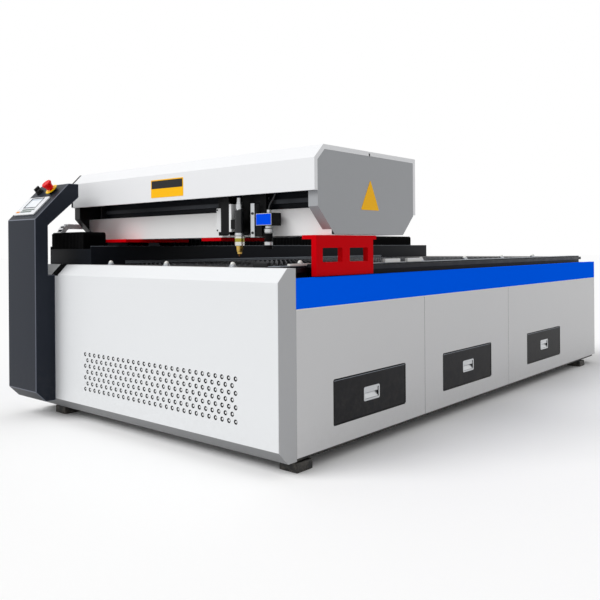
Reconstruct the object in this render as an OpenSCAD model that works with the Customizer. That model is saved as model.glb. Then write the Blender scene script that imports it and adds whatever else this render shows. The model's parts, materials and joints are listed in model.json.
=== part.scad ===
// Gantry laser cutting machine for sheet metal, with a slatted bed and scrap drawers.
// Millimetres, +Z up, +X to the operator's right, +Y to the rear.
// The origin is on the floor, in the middle of the footprint.

/* [Overall] */
// Width between the outer faces of the side panels
machine_w = 2240; // [2200:10:2400]
// Length of the side panels
panel_l = 4144; // [4130:2:4400]
// Distance that the control column stands out in front of the side panels
column_reach = 256; // [240:1:300]

/* [Base frame] */
// Height of the levelling feet
foot_h = 56; // [45:1:70]
// Side of the square foot pads
foot_size = 112; // [90:1:130]
// Height of the clamping nuts on the feet
foot_nut_h = 10; // [8:1:16]
// Distance of the left feet from the left side
left_foot_inset = 266; // [250:1:290]
// Distance of the right rear foot from the front edge of the side panels
rear_foot_y = 3815; // [3600:5:3900]
// Height of the bottom rails
bottom_rail_h = 80; // [60:1:100]
// Width of the bottom rails
bottom_rail_w = 180; // [150:1:200]
// Side of the square posts
post_size = 70; // [50:1:76]
// Height of the top rails and the upper cross tubes
top_rail_h = 80; // [60:1:90]
// Height of the upper faces of the top rails
frame_top = 860; // [850:1:868]
// Width of the cross tubes
cross_tube_w = 60; // [40:1:70]
// Height of the lower cross tubes
lower_tube_h = 60; // [40:1:70]
// Height of the rails behind the side panels
panel_rail_h = 50; // [30:1:70]
// Wall of the frame tubes
tube_wall = 5; // [3:0.5:8]

/* [Covers] */
// Thickness of the sheet metal covers
sheet_t = 2; // [1.5:0.5:3]
// Gap between the top of the feet and the side panels
panel_lift = 12; // [6:1:20]
// Height of the side panels
panel_h = 695; // [680:1:705]
// Length of each of the first two side panels
panel_pitch = 1155; // [1110:5:1200]
// Gap between neighbouring panels
seam_gap = 2; // [1:0.5:4]
// Height of the coloured band above the side panels
stripe_h = 143; // [130:1:146]
// Width of the folded top edge of the band
stripe_lip = 40; // [25:1:44]
// Depth of the front cover
cover_depth = 123; // [110:1:140]
// Height of the front cover
cover_h = 899; // [885:1:900]
// Size of the folded edges along the front cover
cover_chamfer = 64; // [40:1:80]
// Height of the inner lips of the front cover
cover_lip = 40; // [20:1:50]
// Thickness of the end plates of the front cover
cover_end_t = 3; // [2:0.5:5]
// Distance of the rear cover from the rear edge of the side panels
rear_inset = 60; // [40:1:80]
// Outer diameter of the fume outlets
outlet_d = 200; // [150:5:250]
// Distance of the fume outlets from the middle of the machine
outlet_x = 420; // [300:10:600]
// Height of the middle of the fume outlets
outlet_z = 560; // [400:10:640]

/* [Vents] */
// Rows of holes in the front cover
vent_rows = 7; // [3:1:8]
// Holes in a long row
vent_columns = 28; // [10:1:29]
// Distance between the holes of a row
vent_pitch = 47.3; // [40:0.1:48]
// Distance between the rows
vent_row_pitch = 34.3; // [28:0.1:40]
// Diameter of the holes
vent_d = 25; // [10:0.5:26]
// Distance of the last hole from the right side
vent_inset = 280; // [250:5:320]
// Height of the lowest row
vent_z = 220; // [200:1:260]

/* [Drawers] */
// Distance of the first drawer's middle from the front edge of the panels
drawer_1_y = 610; // [590:5:640]
// Distance of the second drawer's middle from the front edge of the panels
drawer_2_y = 1700; // [1680:5:1760]
// Distance of the third drawer's middle from the front edge of the panels
drawer_3_y = 2966; // [2900:5:3000]
// Width of the drawer fronts
drawer_w = 660; // [560:5:680]
// Height of the drawer fronts
drawer_h = 226; // [180:1:240]
// Height of the lower edges of the drawer fronts
drawer_z = 168; // [160:1:190]
// Depth of the drawers
drawer_depth = 520; // [400:5:600]
// Thickness of the drawer fronts
drawer_front_t = 3; // [2:0.5:4]
// Gap around the drawer fronts
drawer_gap = 3; // [2:0.5:6]
// Corner radius of the drawer fronts
drawer_corner = 8; // [4:1:16]
// Height of the trays above the lower edges of the drawer fronts
tray_lift = 8; // [5:1:14]
// Room between the tray walls and the edges of the drawer fronts
tray_margin = 14; // [10:1:24]
// Height left free above the trays
tray_headroom = 24; // [16:1:40]
// Width of the flush pulls
pull_w = 145; // [120:1:170]
// Height of the flush pulls
pull_h = 74; // [60:1:90]
// Depth of the flush pulls
pull_depth = 16; // [10:1:24]
// Depth of the rims around the drawers' holes in the side panels
panel_rim = 14; // [10:1:16]
// Width of the drawer runners
runner_w = 30; // [20:1:40]

/* [Rail beams] */
// Length of the rail beams
beam_l = 4040; // [4030:5:4070]
// Distance of the right rail beam from the right side
right_beam_inset = 100; // [95:1:110]
// Width of the right rail beam
right_beam_w = 80; // [78:1:90]
// Height of the right rail beam
right_beam_h = 102; // [96:1:108]
// Distance of the left rail beam from the left side
left_beam_inset = 85; // [82:1:95]
// Width of the left rail beam
left_beam_w = 475; // [465:1:500]
// Height of the left rail beam
left_beam_h = 192; // [180:1:200]
// Height of the edges beside the bellows
beam_lip_h = 18; // [8:1:22]
// Thickness of the edges beside the bellows
beam_lip_t = 6; // [4:1:10]
// Width of the guide rails
guide_w = 23; // [20:1:25]
// Height of the guide rails
guide_h = 22; // [18:1:24]
// Distance between the two left guide rails
left_guide_gap = 250; // [230:2:260]
// Height from a rail's seat to the upper face of its blocks
guide_stack = 40; // [36:1:48]
// Length of the guide blocks
block_l = 90; // [70:1:110]
// Width of the guide blocks
block_w = 70; // [56:1:72]

/* [Bellows and cable chain] */
// Width of the bellows
bellows_w = 375; // [360:1:440]
// Gap between the bellows and the edge of the beam on their left
bellows_gap = 1.5; // [1:0.5:4]
// Width of the slanted upper edges of the bellows
bellows_bevel = 18; // [6:1:22]
// Height of the bellows
bellows_h = 108; // [90:1:112]
// Distance of the front bellows from the front edge of the panels
bellows_front = 4; // [2:1:10]
// Distance of the rear end of the bellows from the front edge of the panels
bellows_rear = 3880; // [3860:5:3890]
// Depth of the folds
pleat_depth = 14; // [8:1:18]
// Distance between the folds of the front bellows
front_pleat = 12.5; // [10:0.5:20]
// Distance between the folds of the rear bellows
rear_pleat = 40; // [30:1:60]
// Wall of the bellows inside the folds
bellows_wall = 8; // [5:1:10]
// Length of a link of the cable chain
link_l = 45; // [35:1:60]
// Height of a link of the cable chain
link_h = 32; // [24:1:40]
// Width of the cable chain
link_w = 56; // [44:1:58]
// Radius of the bend of the cable chain
chain_r = 75; // [65:1:80]
// Distance of the middle of the bend from the front edge of the panels
chain_bend_y = 160; // [150:1:170]
// Length of the straight lower run of the cable chain
chain_run = 1575; // [1540:5:1650]
// Distance between the cable chain and the gantry
chain_gap = 6; // [5:1:8]
// Height of the edge that holds the chain's tray on the left beam
tray_edge_h = 60; // [40:1:80]
// Length of each of the arms under the chain's tray
tray_arm_l = 60; // [40:1:90]

/* [Bed] */
// Depth of the front deck
deck_front = 140; // [120:1:150]
// Length of the slatted bed
bed_l = 3160; // [3000:10:3200]
// Distance between the slats
slat_pitch = 100; // [80:1:120]
// Thickness of the slats
slat_t = 4; // [3:0.5:6]
// Height of the slats from the comb bars to the tips
slat_h = 60; // [50:1:62]
// Distance between the tips of a slat
tooth_pitch = 45; // [30:1:60]
// Depth of the teeth
tooth_depth = 20; // [12:1:24]
// Height at which the slats stand in the comb bars
slat_seat = 40; // [34:1:42]
// Depth of the comb slots
comb_depth = 24; // [16:1:30]
// Thickness of the comb bars
comb_t = 8; // [6:1:12]
// Thickness of the deck sheets
deck_t = 3; // [2:0.5:5]
// Height of the decks
deck_h = 95; // [90:1:98]
// Diameter of the transfer balls
ball_d = 25; // [20:1:30]
// Diameter of the cups of the transfer balls
cup_d = 46; // [40:1:52]
// Height of the cups of the transfer balls
cup_h = 12; // [10:1:14]
// Distance between the transfer balls
ball_pitch = 583; // [540:1:600]
// Height of the sheet stops
stop_h = 22; // [16:1:26]
// Distance of the front balls from the front edge of the panels
front_ball_y = 40; // [30:1:60]
// Distance of the first front ball from the right rail beam
ball_right_gap = 281; // [250:1:320]
// Distance of the last front ball from the left rail beam
ball_left_gap = 153; // [120:1:180]
// Distance of the first side ball from the front edge of the panels
side_ball_y = 218; // [200:1:240]
// Distance that the side cups stand out over the right rail beam
cup_overhang = 3; // [2:0.5:4]
// Width of the stop bars
stop_w = 20; // [16:1:24]
// Distance of the side stops from the outer edge of the right rail beam
stop_edge = 4; // [2:1:8]
// Distance of the front stop from the right rail beam
front_stop_inset = 20; // [10:1:40]
// Length of the front stop
front_stop_l = 100; // [80:1:120]
// Distance of the first side stop from the front edge of the panels
side_stop_y = 900; // [880:1:920]
// Length of the side stops
side_stop_l = 160; // [120:1:180]
// Distance between the two side stops
side_stop_pitch = 240; // [220:1:260]

/* [Control column] */
// Width of the control column
column_w = 336; // [320:1:340]
// Distance of the control column from the left side
column_inset = 17; // [10:1:24]
// Height of the lower edge of the control column
column_z = 109; // [90:1:130]
// Size of the chamfer at the foot of the control column
column_toe = 66; // [50:1:70]
// Height of the lower edge of the sloping console
console_z = 1238; // [1220:1:1250]
// Depth of the sloping console
console_run = 232; // [228:1:240]
// Height of the lower rear edge of the console's head
head_back_z = 1384; // [1370:1:1400]
// Distance from the console's lower edge to the back of its head
head_reach = 303; // [300:1:308]
// Depth of the free standing neck of the column
neck_d = 88; // [70:1:100]
// Height of the shoulder that hooks over the front cover
shoulder_z = 893; // [880:1:905]
// Height of the neck's upper inner corner
neck_top_z = 1200; // [1180:1:1220]
// Width of the control panel
hmi_w = 247; // [220:1:260]
// Height of the control panel
hmi_h = 162; // [140:1:165]
// Thickness of the control panel
hmi_t = 9; // [6:1:14]
// Distance of the control panel up the slope
hmi_up = 39; // [30:1:45]
// Width of the screen
screen_w = 137; // [110:1:150]
// Height of the screen
screen_h = 80; // [60:1:95]
// Diameter of the emergency stop's collar
collar_d = 84; // [70:1:86]
// Height of the emergency stop's collar
collar_h = 20; // [12:1:24]
// Diameter of the emergency stop's button
estop_d = 65; // [48:1:68]
// Diameter of the emergency stop's button at its lower end
estop_neck_d = 46; // [40:1:50]
// Height of the emergency stop's button
estop_h = 46; // [30:1:50]
// Travel of the emergency stop's button
estop_travel = 6; // [4:0.5:8]
// Distance of the switches up the slope
switch_up = 262; // [256:1:270]
// Distance of the emergency stop from the left face of the column
estop_x = 230; // [220:1:240]
// Distance of the turn switch from the left face of the column
turn_x = 72; // [60:1:80]
// Diameter of the turn switch's bezel
bezel_d = 52; // [44:1:56]
// Height of the turn switch's knob
knob_h = 34; // [26:1:38]
// Width of the grip bar on the knob
grip_w = 14; // [8:1:18]

/* [Gantry] */
// Distance of the gantry's front from the front edge of the side panels
gantry_y = 162; // [160:1:175]
// Length of the gantry across the machine
gantry_w = 2141; // [2130:1:2145]
// Distance of the gantry's right end from the right side
gantry_inset = 17; // [16:1:18]
// Distance of the right leg from the right side
leg_inset = 16; // [15:1:17]
// Width of the left base plate to the left of the beam's middle
left_plate_reach = 162; // [155:1:166]
// Distance of the pad under the beam from the gantry's right end
pad_inset = 973; // [900:1:1000]
// Width of the pad under the beam
pad_w = 170; // [150:1:190]
// Depth of the gantry's covers
gantry_d = 924; // [910:1:940]
// Height of the gantry from the underside of its beam
gantry_h = 448; // [430:1:470]
// Distance of the beam behind the gantry's front
beam_setback = 134; // [130:1:140]
// Depth of the beam
beam_d = 394; // [380:1:396]
// Height of the beam
beam_h = 143; // [130:1:150]
// Thickness of the base plates under the beam
plate_t = 20; // [16:1:24]
// Distance of the base plates behind the gantry's front
plate_setback = 9; // [6:1:14]
// Depth of the base plates
plate_d = 512; // [500:1:514]
// Width of the left base plate
left_plate_w = 568; // [540:1:610]
// Thickness of the right leg
leg_t = 31; // [26:1:31]
// Depth of the right leg
leg_d = 482; // [470:1:500]
// Height of the right leg
leg_h = 202; // [196:1:205]
// Width of the right leg's top flange
leg_flange_w = 91; // [80:1:110]
// Height of the right leg's windows
window_h = 71; // [60:1:76]
// Height of the windows above the leg's lower edge
window_z = 68; // [66:1:80]
// Width of the windows
window_w = 160; // [140:1:170]
// Distance of the windows from the leg's ends
window_inset = 50; // [45:1:60]
// Height of the open slot between the front lid and the beam's underside
lid_lift = 219; // [210:1:225]
// Size of the fold along the front lid
lid_chamfer = 70; // [50:1:80]
// Distance of the hinge behind the gantry's front
hinge_setback = 464; // [455:1:470]
// Gap between the two lids
lid_gap = 12; // [11:0.5:14]
// Width of the bands at the ends of the lids
lid_band = 24; // [20:1:26]
// Height of the rear lid's lower edge above the beam's underside
rear_lid_lift = 123; // [115:1:130]
// Outer diameter of the hinge
hinge_d = 10; // [9:0.5:11]
// Diameter of the hinge pin
pin_d = 5; // [4:0.5:5.5]
// Knuckles along the hinge
knuckles = 16; // [8:2:24]
// Width of the end caps' inner flanges
cap_flange = 60; // [40:1:70]
// Height of the end caps' lower edge above the beam's underside
cap_lift = 6; // [4:1:10]
// Height of the end caps' lower front edge above the beam's underside
cap_nose = 142; // [135:1:150]
// Depth of the end caps' lower front slope
cap_slope = 133; // [120:1:140]
// Size of the lower rear fold
rear_fold = 110; // [100:1:115]

/* [Cross slide] */
// Distance of the rail plate behind the beam's front face
rail_plate_setback = 34; // [32:1:40]
// Thickness of the rail plate
rail_plate_t = 12; // [10:1:16]
// Height of the rail plate
rail_plate_h = 245; // [238:1:250]
// Distance of the rail plate from the gantry's right end
rail_plate_inset = 13; // [10:1:20]
// Distance of the rail plate from the gantry's left end, with room for the motor
cross_motor_room = 168; // [160:1:180]
// Distance between the two cross rails
cross_gap = 150; // [140:1:154]
// Height of the lower cross rail above the beam
cross_low = 42; // [38:1:48]
// Thickness of the carriage plate
carriage_t = 16; // [12:1:18]
// Gap between the carriage plate and the beam
carriage_gap = 8; // [6:1:9]
// Width of the carriage plate
carriage_w = 372; // [366:1:376]
// Height of the carriage plate's lower edge above the beam's underside
carriage_lift = 10; // [8:1:14]
// Height of the carriage plate
carriage_h = 356; // [352:1:362]
// Diameter of the drive screws
screw_d = 25; // [20:1:26]
// Diameter of the cross screw
cross_screw_d = 16; // [14:1:20]
// Diameter of the laser source
source_d = 90; // [70:1:110]
// Length of the laser source
source_l = 1500; // [1200:10:1700]
// Distance of the laser source from the gantry's right end
source_inset = 220; // [180:1:260]

/* [Cutting head] */
// Distance of the nozzle from the right side
nozzle_inset = 594; // [590:1:600]
// Distance of the nozzle behind the gantry's front
nozzle_setback = 58; // [56:1:62]
// Height of the nozzle's tip above the slats
stand_off = 44; // [42:1:50]
// Diameter of the head's tube
tube_d = 50; // [44:1:54]
// Length of the head's tube
tube_l = 141; // [130:1:150]
// Height of the head's lower body
lower_h = 54; // [48:1:60]
// Height of the nozzle
nozzle_h = 58; // [50:1:62]
// Height of the head's fittings
fitting_h = 66; // [50:1:72]
// Width of the upright drive beside the head
drive_w = 72; // [64:1:74]
// Height of the upright drive's case
drive_h = 178; // [170:1:190]
// Depth of the upright drive's case
drive_d = 56; // [50:1:60]
// Distance of the upright drive's left side from the nozzle
drive_offset = 143; // [140:1:150]
// Width of the mounting plate beside the upright drive
mount_plate_w = 74; // [70:1:76]
// Height of the mounting plate
mount_plate_h = 134; // [120:1:140]
// Thickness of the mounting plate
mount_plate_t = 20; // [16:1:24]
// Height of the mounting plate above the upright drive's lower edge
mount_plate_lift = 14; // [10:1:20]
// Width of the carriage plate to the left of the mounting plate
plate_margin = 4; // [2:1:8]
// Height of the upright drive above the beam's underside
drive_lift = 16; // [14:1:22]
// Width of the camera's case
camera_w = 114; // [100:1:120]
// Height of the camera's case
camera_h = 66; // [56:1:68]
// Depth of the camera's case
camera_d = 76; // [70:1:80]
// Height of the camera's case above the beam's underside
camera_lift = 55; // [50:1:60]
// Diameter of the camera's lens
lens_d = 45; // [38:1:50]
// Length of the camera's lens
lens_l = 122; // [100:1:124]
// Distance between the nozzle and the camera's lens
camera_offset = 206; // [184:1:208]
// Distance between the nozzle and the bar beside the tube
bar_offset = 74; // [70:1:78]
// Width of the bar beside the tube
bar_w = 28; // [20:1:30]
// Diameter of the camera's cable
cable_d = 9; // [6:0.5:10]
// Distance of the camera's cable from the carriage plate
cable_out = 38; // [34:1:44]
// Height of the cable's upper end above the camera's case
cable_rise = 190; // [170:1:200]
// Diameter of the nuts on both ends of the camera's cable
gland_d = 22; // [16:1:24]
// Length of the nuts on both ends of the camera's cable
gland_l = 18; // [12:1:24]

/* [Hidden] */
$fn = 48;

// Small values shared by several pieces
seat = 0.3;
slack = 0.5;
past = 1;
bend = tan(22.5);

// Main planes
right_x = machine_w / 2;
left_x = -machine_w / 2;
front_y = (column_reach - panel_l) / 2;
rear_y = front_y + panel_l;
skin_right = right_x - sheet_t;
skin_left = left_x + sheet_t;
frame_rear = rear_y - rear_inset - sheet_t;
rail_top = foot_h + bottom_rail_h;
top_rail_z = frame_top - top_rail_h;
panel_z = foot_h + panel_lift;
stripe_z = panel_z + panel_h;
stripe_top = stripe_z + stripe_h;
cover_top = foot_h + cover_h;
cover_face = front_y - cover_depth;

// Rail beams
right_beam_out = right_x - right_beam_inset;
right_beam_in = right_beam_out - right_beam_w;
right_beam_top = frame_top + right_beam_h;
left_beam_out = left_x + left_beam_inset;
left_beam_in = left_beam_out + left_beam_w;
left_beam_top = frame_top + left_beam_h;
left_mid = left_beam_out + beam_lip_t + bellows_gap + bellows_w / 2;
guide_y = front_y + bellows_front + bellows_wall + seat;
beam_rear = front_y + beam_l;
post_right = (right_beam_out + right_beam_in) / 2;
post_left = left_beam_out + right_beam_w / 2;
rail_margin = 10;
screw_z = left_beam_top + guide_h;

// Bed
bed_y = front_y + deck_front;
bed_rear = bed_y + bed_l;
deck_top = frame_top + deck_h;
slat_z = frame_top + slat_seat;
tip_z = slat_z + slat_h;
slat_count = floor((bed_l - slat_pitch) / slat_pitch);
slat_left = left_beam_in + slack;
slat_right = right_beam_in - slack;

// Drawers
drawer_ys = [drawer_1_y, drawer_2_y, drawer_3_y];
drawer_face = right_x - sheet_t;
tray_z = drawer_z + tray_lift;
tray_top = drawer_z + drawer_h - tray_headroom;
tray_w = drawer_w - 2 * tray_margin;

// Column
column_left = left_x + column_inset;
column_right = column_left + column_w;
column_face = front_y - column_reach;
console_top = console_z + console_run;

// Gantry
lid_y = front_y + gantry_y;
gantry_right = right_x - gantry_inset;
gantry_left = gantry_right - gantry_w;
plate_z = left_beam_top + guide_stack;
beam_z = plate_z + plate_t;
gantry_top = beam_z + gantry_h;
lid_rear = lid_y + gantry_d;
beam_y = lid_y + beam_setback;
beam_back = beam_y + beam_d;
beam_top = beam_z + beam_h;
plate_y = lid_y + plate_setback;
plate_back = plate_y + plate_d;
leg_right = right_x - leg_inset;
leg_left = leg_right - leg_t;
leg_z = beam_z - leg_h;
left_plate_x = left_mid - left_plate_reach;
hinge_y = lid_y + hinge_setback;
hinge_z = gantry_top - sheet_t - hinge_d / 2 + past;
cap_t = 3;
cap_right = gantry_right - cap_t;
cap_left = gantry_left + cap_t;
rail_face = beam_y + rail_plate_setback;
right_guide_z = leg_z + 31;

// Cross slide
carriage_back = beam_y - carriage_gap;
carriage_face = carriage_back - carriage_t;
carriage_z = beam_z + carriage_lift;
cross_z = [beam_top + cross_low, beam_top + cross_low + cross_gap];
cross_screw_z = beam_top + cross_low + cross_gap / 2 + 4;
cross_screw_y = rail_face - guide_h / 2 - past;
rail_plate_left = gantry_left + cross_motor_room;
rail_plate_right = gantry_right - rail_plate_inset;

// Cutting head
nozzle_x = right_x - nozzle_inset;
nozzle_y = lid_y + nozzle_setback;
tip_height = tip_z + stand_off;
lower_z = tip_height + nozzle_h;
tube_z = lower_z + lower_h;
tube_top = tube_z + tube_l;
drive_x = nozzle_x - drive_offset;
drive_right = drive_x + drive_w;
drive_face = carriage_face - drive_d;
drive_z = beam_z + drive_lift;
lens_x = nozzle_x + camera_offset;
camera_z = beam_z + camera_lift;
camera_face = carriage_face - camera_d;
camera_top = camera_z + camera_h;
bar_x = nozzle_x + bar_offset;
cable_y = carriage_face - cable_out;
cable_end_z = camera_top + cable_rise;
carriage_x = drive_x - mount_plate_w - plate_margin;
cable_end_x = carriage_x + carriage_w + gland_l;

// A block between two corners
module block(low, high) {
    translate(low) cube(high - low);
}

// A section in Y and Z, drawn along X
module along_x(points, x_from, x_to) {
    translate([x_from, 0, 0]) rotate([90, 0, 90]) linear_extrude(x_to - x_from) polygon(points);
}

// A section in X and Z, drawn along Y
module along_y(points, y_from, y_to) {
    translate([0, y_to, 0]) rotate([90, 0, 0]) linear_extrude(y_to - y_from) polygon(points);
}

// A round bar along X
module rod_x(d, x_from, x_to, y, z) {
    translate([x_from, y, z]) rotate([0, 90, 0]) cylinder(d = d, h = x_to - x_from);
}

// A round bar along Y
module rod_y(d, y_from, y_to, x, z) {
    translate([x, y_to, z]) rotate([90, 0, 0]) cylinder(d = d, h = y_to - y_from);
}

// A rectangular tube along Y, open at its ends
module tube_y(low, high, wall) {
    difference() {
        block(low, high);
        block(low + [wall, -past, wall], high + [-wall, past, -wall]);
    }
}

// A rectangular tube along X, open at its ends
module tube_x(low, high, wall) {
    difference() {
        block(low, high);
        block(low + [-past, wall, wall], high + [past, -wall, -wall]);
    }
}

// A flat plate with round corners, standing across X
module rounded_x(y_mid, z_from, w, h, r, x_from, x_to) {
    translate([x_from, y_mid, z_from + h / 2]) rotate([90, 0, 90])
        linear_extrude(x_to - x_from) rounded_face(w, h, r);
}

// A rectangle with round corners, about its middle
module rounded_face(w, h, r) {
    square([w - 2 * r, h], center = true);
    square([w, h - 2 * r], center = true);
    for (sx = [-1, 1], sy = [-1, 1])
        translate([sx * (w / 2 - r), sy * (h / 2 - r)]) circle(r);
}

// Places a piece on the sloping console, with Y up the slope and Z out of it
module on_console(x, up) {
    translate([x, column_face, console_z]) rotate([45, 0, 0]) translate([0, up, 0]) children();
}

// Bottom rails, top rails and the rails behind the side panels
module base_long_rails() {
    panel_rail_top = top_rail_z - past;
    color("#26282c") {
        tube_y([skin_right - bottom_rail_w, front_y, foot_h], [skin_right, frame_rear, rail_top], tube_wall);
        tube_y([skin_left, front_y, foot_h], [skin_left + bottom_rail_w, frame_rear, rail_top], tube_wall);
        tube_y([right_beam_in, front_y, top_rail_z], [right_beam_out, frame_rear, frame_top], tube_wall);
        tube_y(
            [left_beam_out, front_y, top_rail_z],
            [left_beam_out + right_beam_w, frame_rear, frame_top],
            tube_wall
        );
        tube_y(
            [post_right + post_size / 2, front_y, panel_rail_top - panel_rail_h],
            [skin_right, frame_rear, panel_rail_top],
            tube_wall
        );
        tube_y(
            [skin_left, front_y, panel_rail_top - panel_rail_h],
            [post_left - post_size / 2, frame_rear, panel_rail_top],
            tube_wall
        );
    }
}

// Posts, lower cross tubes under the drawer runners and upper cross tubes under the bed
module base_frame_members() {
    post_ys = [
        front_y,
        front_y + panel_pitch - post_size / 2,
        front_y + 2 * panel_pitch - post_size / 2,
        front_y + drawer_3_y + drawer_w,
        frame_rear - post_size
    ];
    lower_from = skin_left + bottom_rail_w;
    lower_to = skin_right - bottom_rail_w;
    upper_from = left_beam_out + right_beam_w;
    inner_tubes = 4;
    color("#2b2d31") {
        for (y = post_ys, x = [post_left, post_right])
            block([x - post_size / 2, y, rail_top], [x + post_size / 2, y + post_size, top_rail_z]);
        for (y = drawer_ys, side = [-1, 1]) {
            mid = front_y + y + side * (tray_w - runner_w) / 2;
            tube_x(
                [lower_from, mid - cross_tube_w / 2, rail_top - lower_tube_h],
                [lower_to, mid + cross_tube_w / 2, rail_top],
                tube_wall
            );
        }
        for (y = [front_y, frame_rear - cross_tube_w])
            tube_x(
                [lower_from, y, foot_h],
                [lower_to, y + cross_tube_w, rail_top],
                tube_wall
            );
        tube_x([upper_from, front_y, top_rail_z], [right_beam_in, bed_y, frame_top], tube_wall);
        for (i = [0 : inner_tubes - 1]) {
            mid = bed_y + (i + 0.5) * bed_l / inner_tubes;
            tube_x(
                [upper_from, mid - cross_tube_w / 2, top_rail_z],
                [right_beam_in, mid + cross_tube_w / 2, frame_top],
                tube_wall
            );
        }
        for (y = [bed_rear, beam_rear - cross_tube_w])
            tube_x([upper_from, y, top_rail_z], [right_beam_in, y + cross_tube_w, frame_top], tube_wall);
    }
}

// Four levelling feet: a chamfered pad with its clamping nut
module levelling_feet() {
    edge = 6;
    pad_h = foot_h - foot_nut_h;
    nut_d = foot_size / 2;
    half = foot_size / 2;
    places = [
        [right_x - half, front_y + half],
        [left_x + left_foot_inset, front_y + cross_tube_w / 4],
        [right_x - half, front_y + rear_foot_y],
        [left_x + left_foot_inset, frame_rear - cross_tube_w / 4]
    ];
    color("#141517")
        for (p = places)
            translate([p[0], p[1], 0]) {
                translate([0, -half, 0]) along_y(
                    [
                        [-half, 0], [half, 0], [half, pad_h - edge], [half - edge, pad_h],
                        [-half + edge, pad_h], [-half, pad_h - edge]
                    ],
                    0, foot_size
                );
                translate([0, 0, pad_h - past]) cylinder(d = nut_d, h = foot_nut_h + past, $fn = 6);
            }
}

// Section of the front cover, pulled in by a distance
function cover_section(d) = [
    [front_y, foot_h + d],
    [cover_face + cover_chamfer + d * bend, foot_h + d],
    [cover_face + d, foot_h + cover_chamfer + d * bend],
    [cover_face + d, cover_top - cover_chamfer - d * bend],
    [cover_face + cover_chamfer + d * bend, cover_top - d],
    [front_y, cover_top - d]
];

// Folded front cover with its staggered vent holes
module front_cover() {
    x_from = left_x + cover_end_t;
    x_to = right_x - cover_end_t;
    color("#ecedee") difference() {
        along_x(cover_section(0), x_from, x_to);
        difference() {
            along_x(cover_section(sheet_t), x_from - past, x_to + past);
            for (z = [foot_h, cover_top - cover_lip])
                block([x_from - past, front_y - sheet_t, z], [x_to + past, front_y, z + cover_lip]);
        }
        for (row = [0 : vent_rows - 1]) {
            short = row % 2;
            for (i = [0 : vent_columns - 1 - short])
                rod_y(
                    vent_d, cover_face - past, cover_face + sheet_t + past,
                    right_x - vent_inset - (i + short / 2) * vent_pitch,
                    vent_z + row * vent_row_pitch
                );
        }
    }
}

// Plates that close the two ends of the front cover
module front_cover_ends() {
    color("#9a9c9e") {
        along_x(cover_section(0), right_x - cover_end_t, right_x);
        along_x(cover_section(0), left_x, left_x + cover_end_t);
    }
}

// Rear cover with two spigots for fume hoses
module rear_cover() {
    spigot_t = 2 * sheet_t;
    color("#b4b6b8") difference() {
        union() {
            block([skin_left, frame_rear, panel_z], [skin_right, frame_rear + sheet_t, stripe_top - sheet_t]);
            for (side = [-1, 1])
                rod_y(outlet_d, frame_rear, rear_y, side * outlet_x, outlet_z);
        }
        for (side = [-1, 1])
            rod_y(outlet_d - 2 * spigot_t, frame_rear - past, rear_y + past, side * outlet_x, outlet_z);
    }
}

// Start and end of each side panel, seen from the front edge
panel_spans = [
    [0, panel_pitch - seam_gap / 2],
    [panel_pitch + seam_gap / 2, 2 * panel_pitch - seam_gap / 2],
    [2 * panel_pitch + seam_gap / 2, panel_l]
];

// Right side panels, each with a rimmed opening for its drawer
module right_panels() {
    hole_w = drawer_w + 2 * drawer_gap;
    hole_h = drawer_h + 2 * drawer_gap;
    hole_z = drawer_z - drawer_gap;
    hole_r = drawer_corner + drawer_gap;
    color("#a9abad")
        for (n = [0 : 2]) {
            span = panel_spans[n];
            mid = front_y + drawer_ys[n];
            difference() {
                union() {
                    block(
                        [skin_right, front_y + span[0], panel_z],
                        [right_x, front_y + span[1], stripe_z - seam_gap]
                    );
                    rounded_x(
                        mid, hole_z - sheet_t, hole_w + 2 * sheet_t, hole_h + 2 * sheet_t,
                        hole_r + sheet_t, skin_right - panel_rim, right_x
                    );
                }
                rounded_x(
                    mid, hole_z, hole_w, hole_h, hole_r,
                    skin_right - panel_rim - past, right_x + past
                );
            }
        }
}

// Plain left side panels
module left_panels() {
    color("#a9abad")
        for (span = panel_spans)
            block(
                [left_x, front_y + span[0], panel_z],
                [skin_left, front_y + span[1], stripe_z - seam_gap]
            );
}

// Coloured bands above the side panels, with a folded top edge
module stripe_panels() {
    section = [
        [right_x, stripe_z], [right_x, stripe_top], [right_x - stripe_lip, stripe_top],
        [right_x - stripe_lip, stripe_top - sheet_t], [skin_right, stripe_top - sheet_t],
        [skin_right, stripe_z]
    ];
    color("#0a55f0") {
        along_y(section, front_y, rear_y);
        mirror([1, 0, 0]) along_y(section, front_y, rear_y);
    }
}

// Bars that the drawer trays slide on
module drawer_runners() {
    color("#8d9094")
        for (y = drawer_ys, side = [-1, 1]) {
            mid = front_y + y + side * (tray_w - runner_w) / 2;
            block(
                [drawer_face - drawer_depth, mid - runner_w / 2, rail_top],
                [skin_right - panel_rim - seat, mid + runner_w / 2, tray_z - seat]
            );
        }
}

// Left rail beam: a box tube with a middle web and upright edges beside the bellows
module left_rail_beam() {
    motor_room = 60;
    color("#17181b") difference() {
        union() {
            tube_y(
                [left_beam_out, front_y, frame_top],
                [left_beam_in, beam_rear, left_beam_top],
                2 * tube_wall
            );
            block(
                [left_mid - 2 * tube_wall, front_y, frame_top + tube_wall],
                [left_mid + 2 * tube_wall, beam_rear, left_beam_top - tube_wall]
            );
            for (y = [front_y, beam_rear - 2 * tube_wall])
                block(
                    [left_beam_out + tube_wall, y, frame_top + tube_wall],
                    [left_beam_in - tube_wall, y + 2 * tube_wall, left_beam_top - tube_wall]
                );
            for (x = [left_beam_out, left_beam_in - beam_lip_t])
                block(
                    [x, front_y, left_beam_top - past],
                    [x + beam_lip_t, beam_rear, left_beam_top + beam_lip_h]
                );
        }
        block(
            [left_mid - motor_room, front_y + bellows_rear + 40, left_beam_top - 4 * tube_wall],
            [left_mid + motor_room, beam_rear + past, left_beam_top + past]
        );
    }
}

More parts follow.
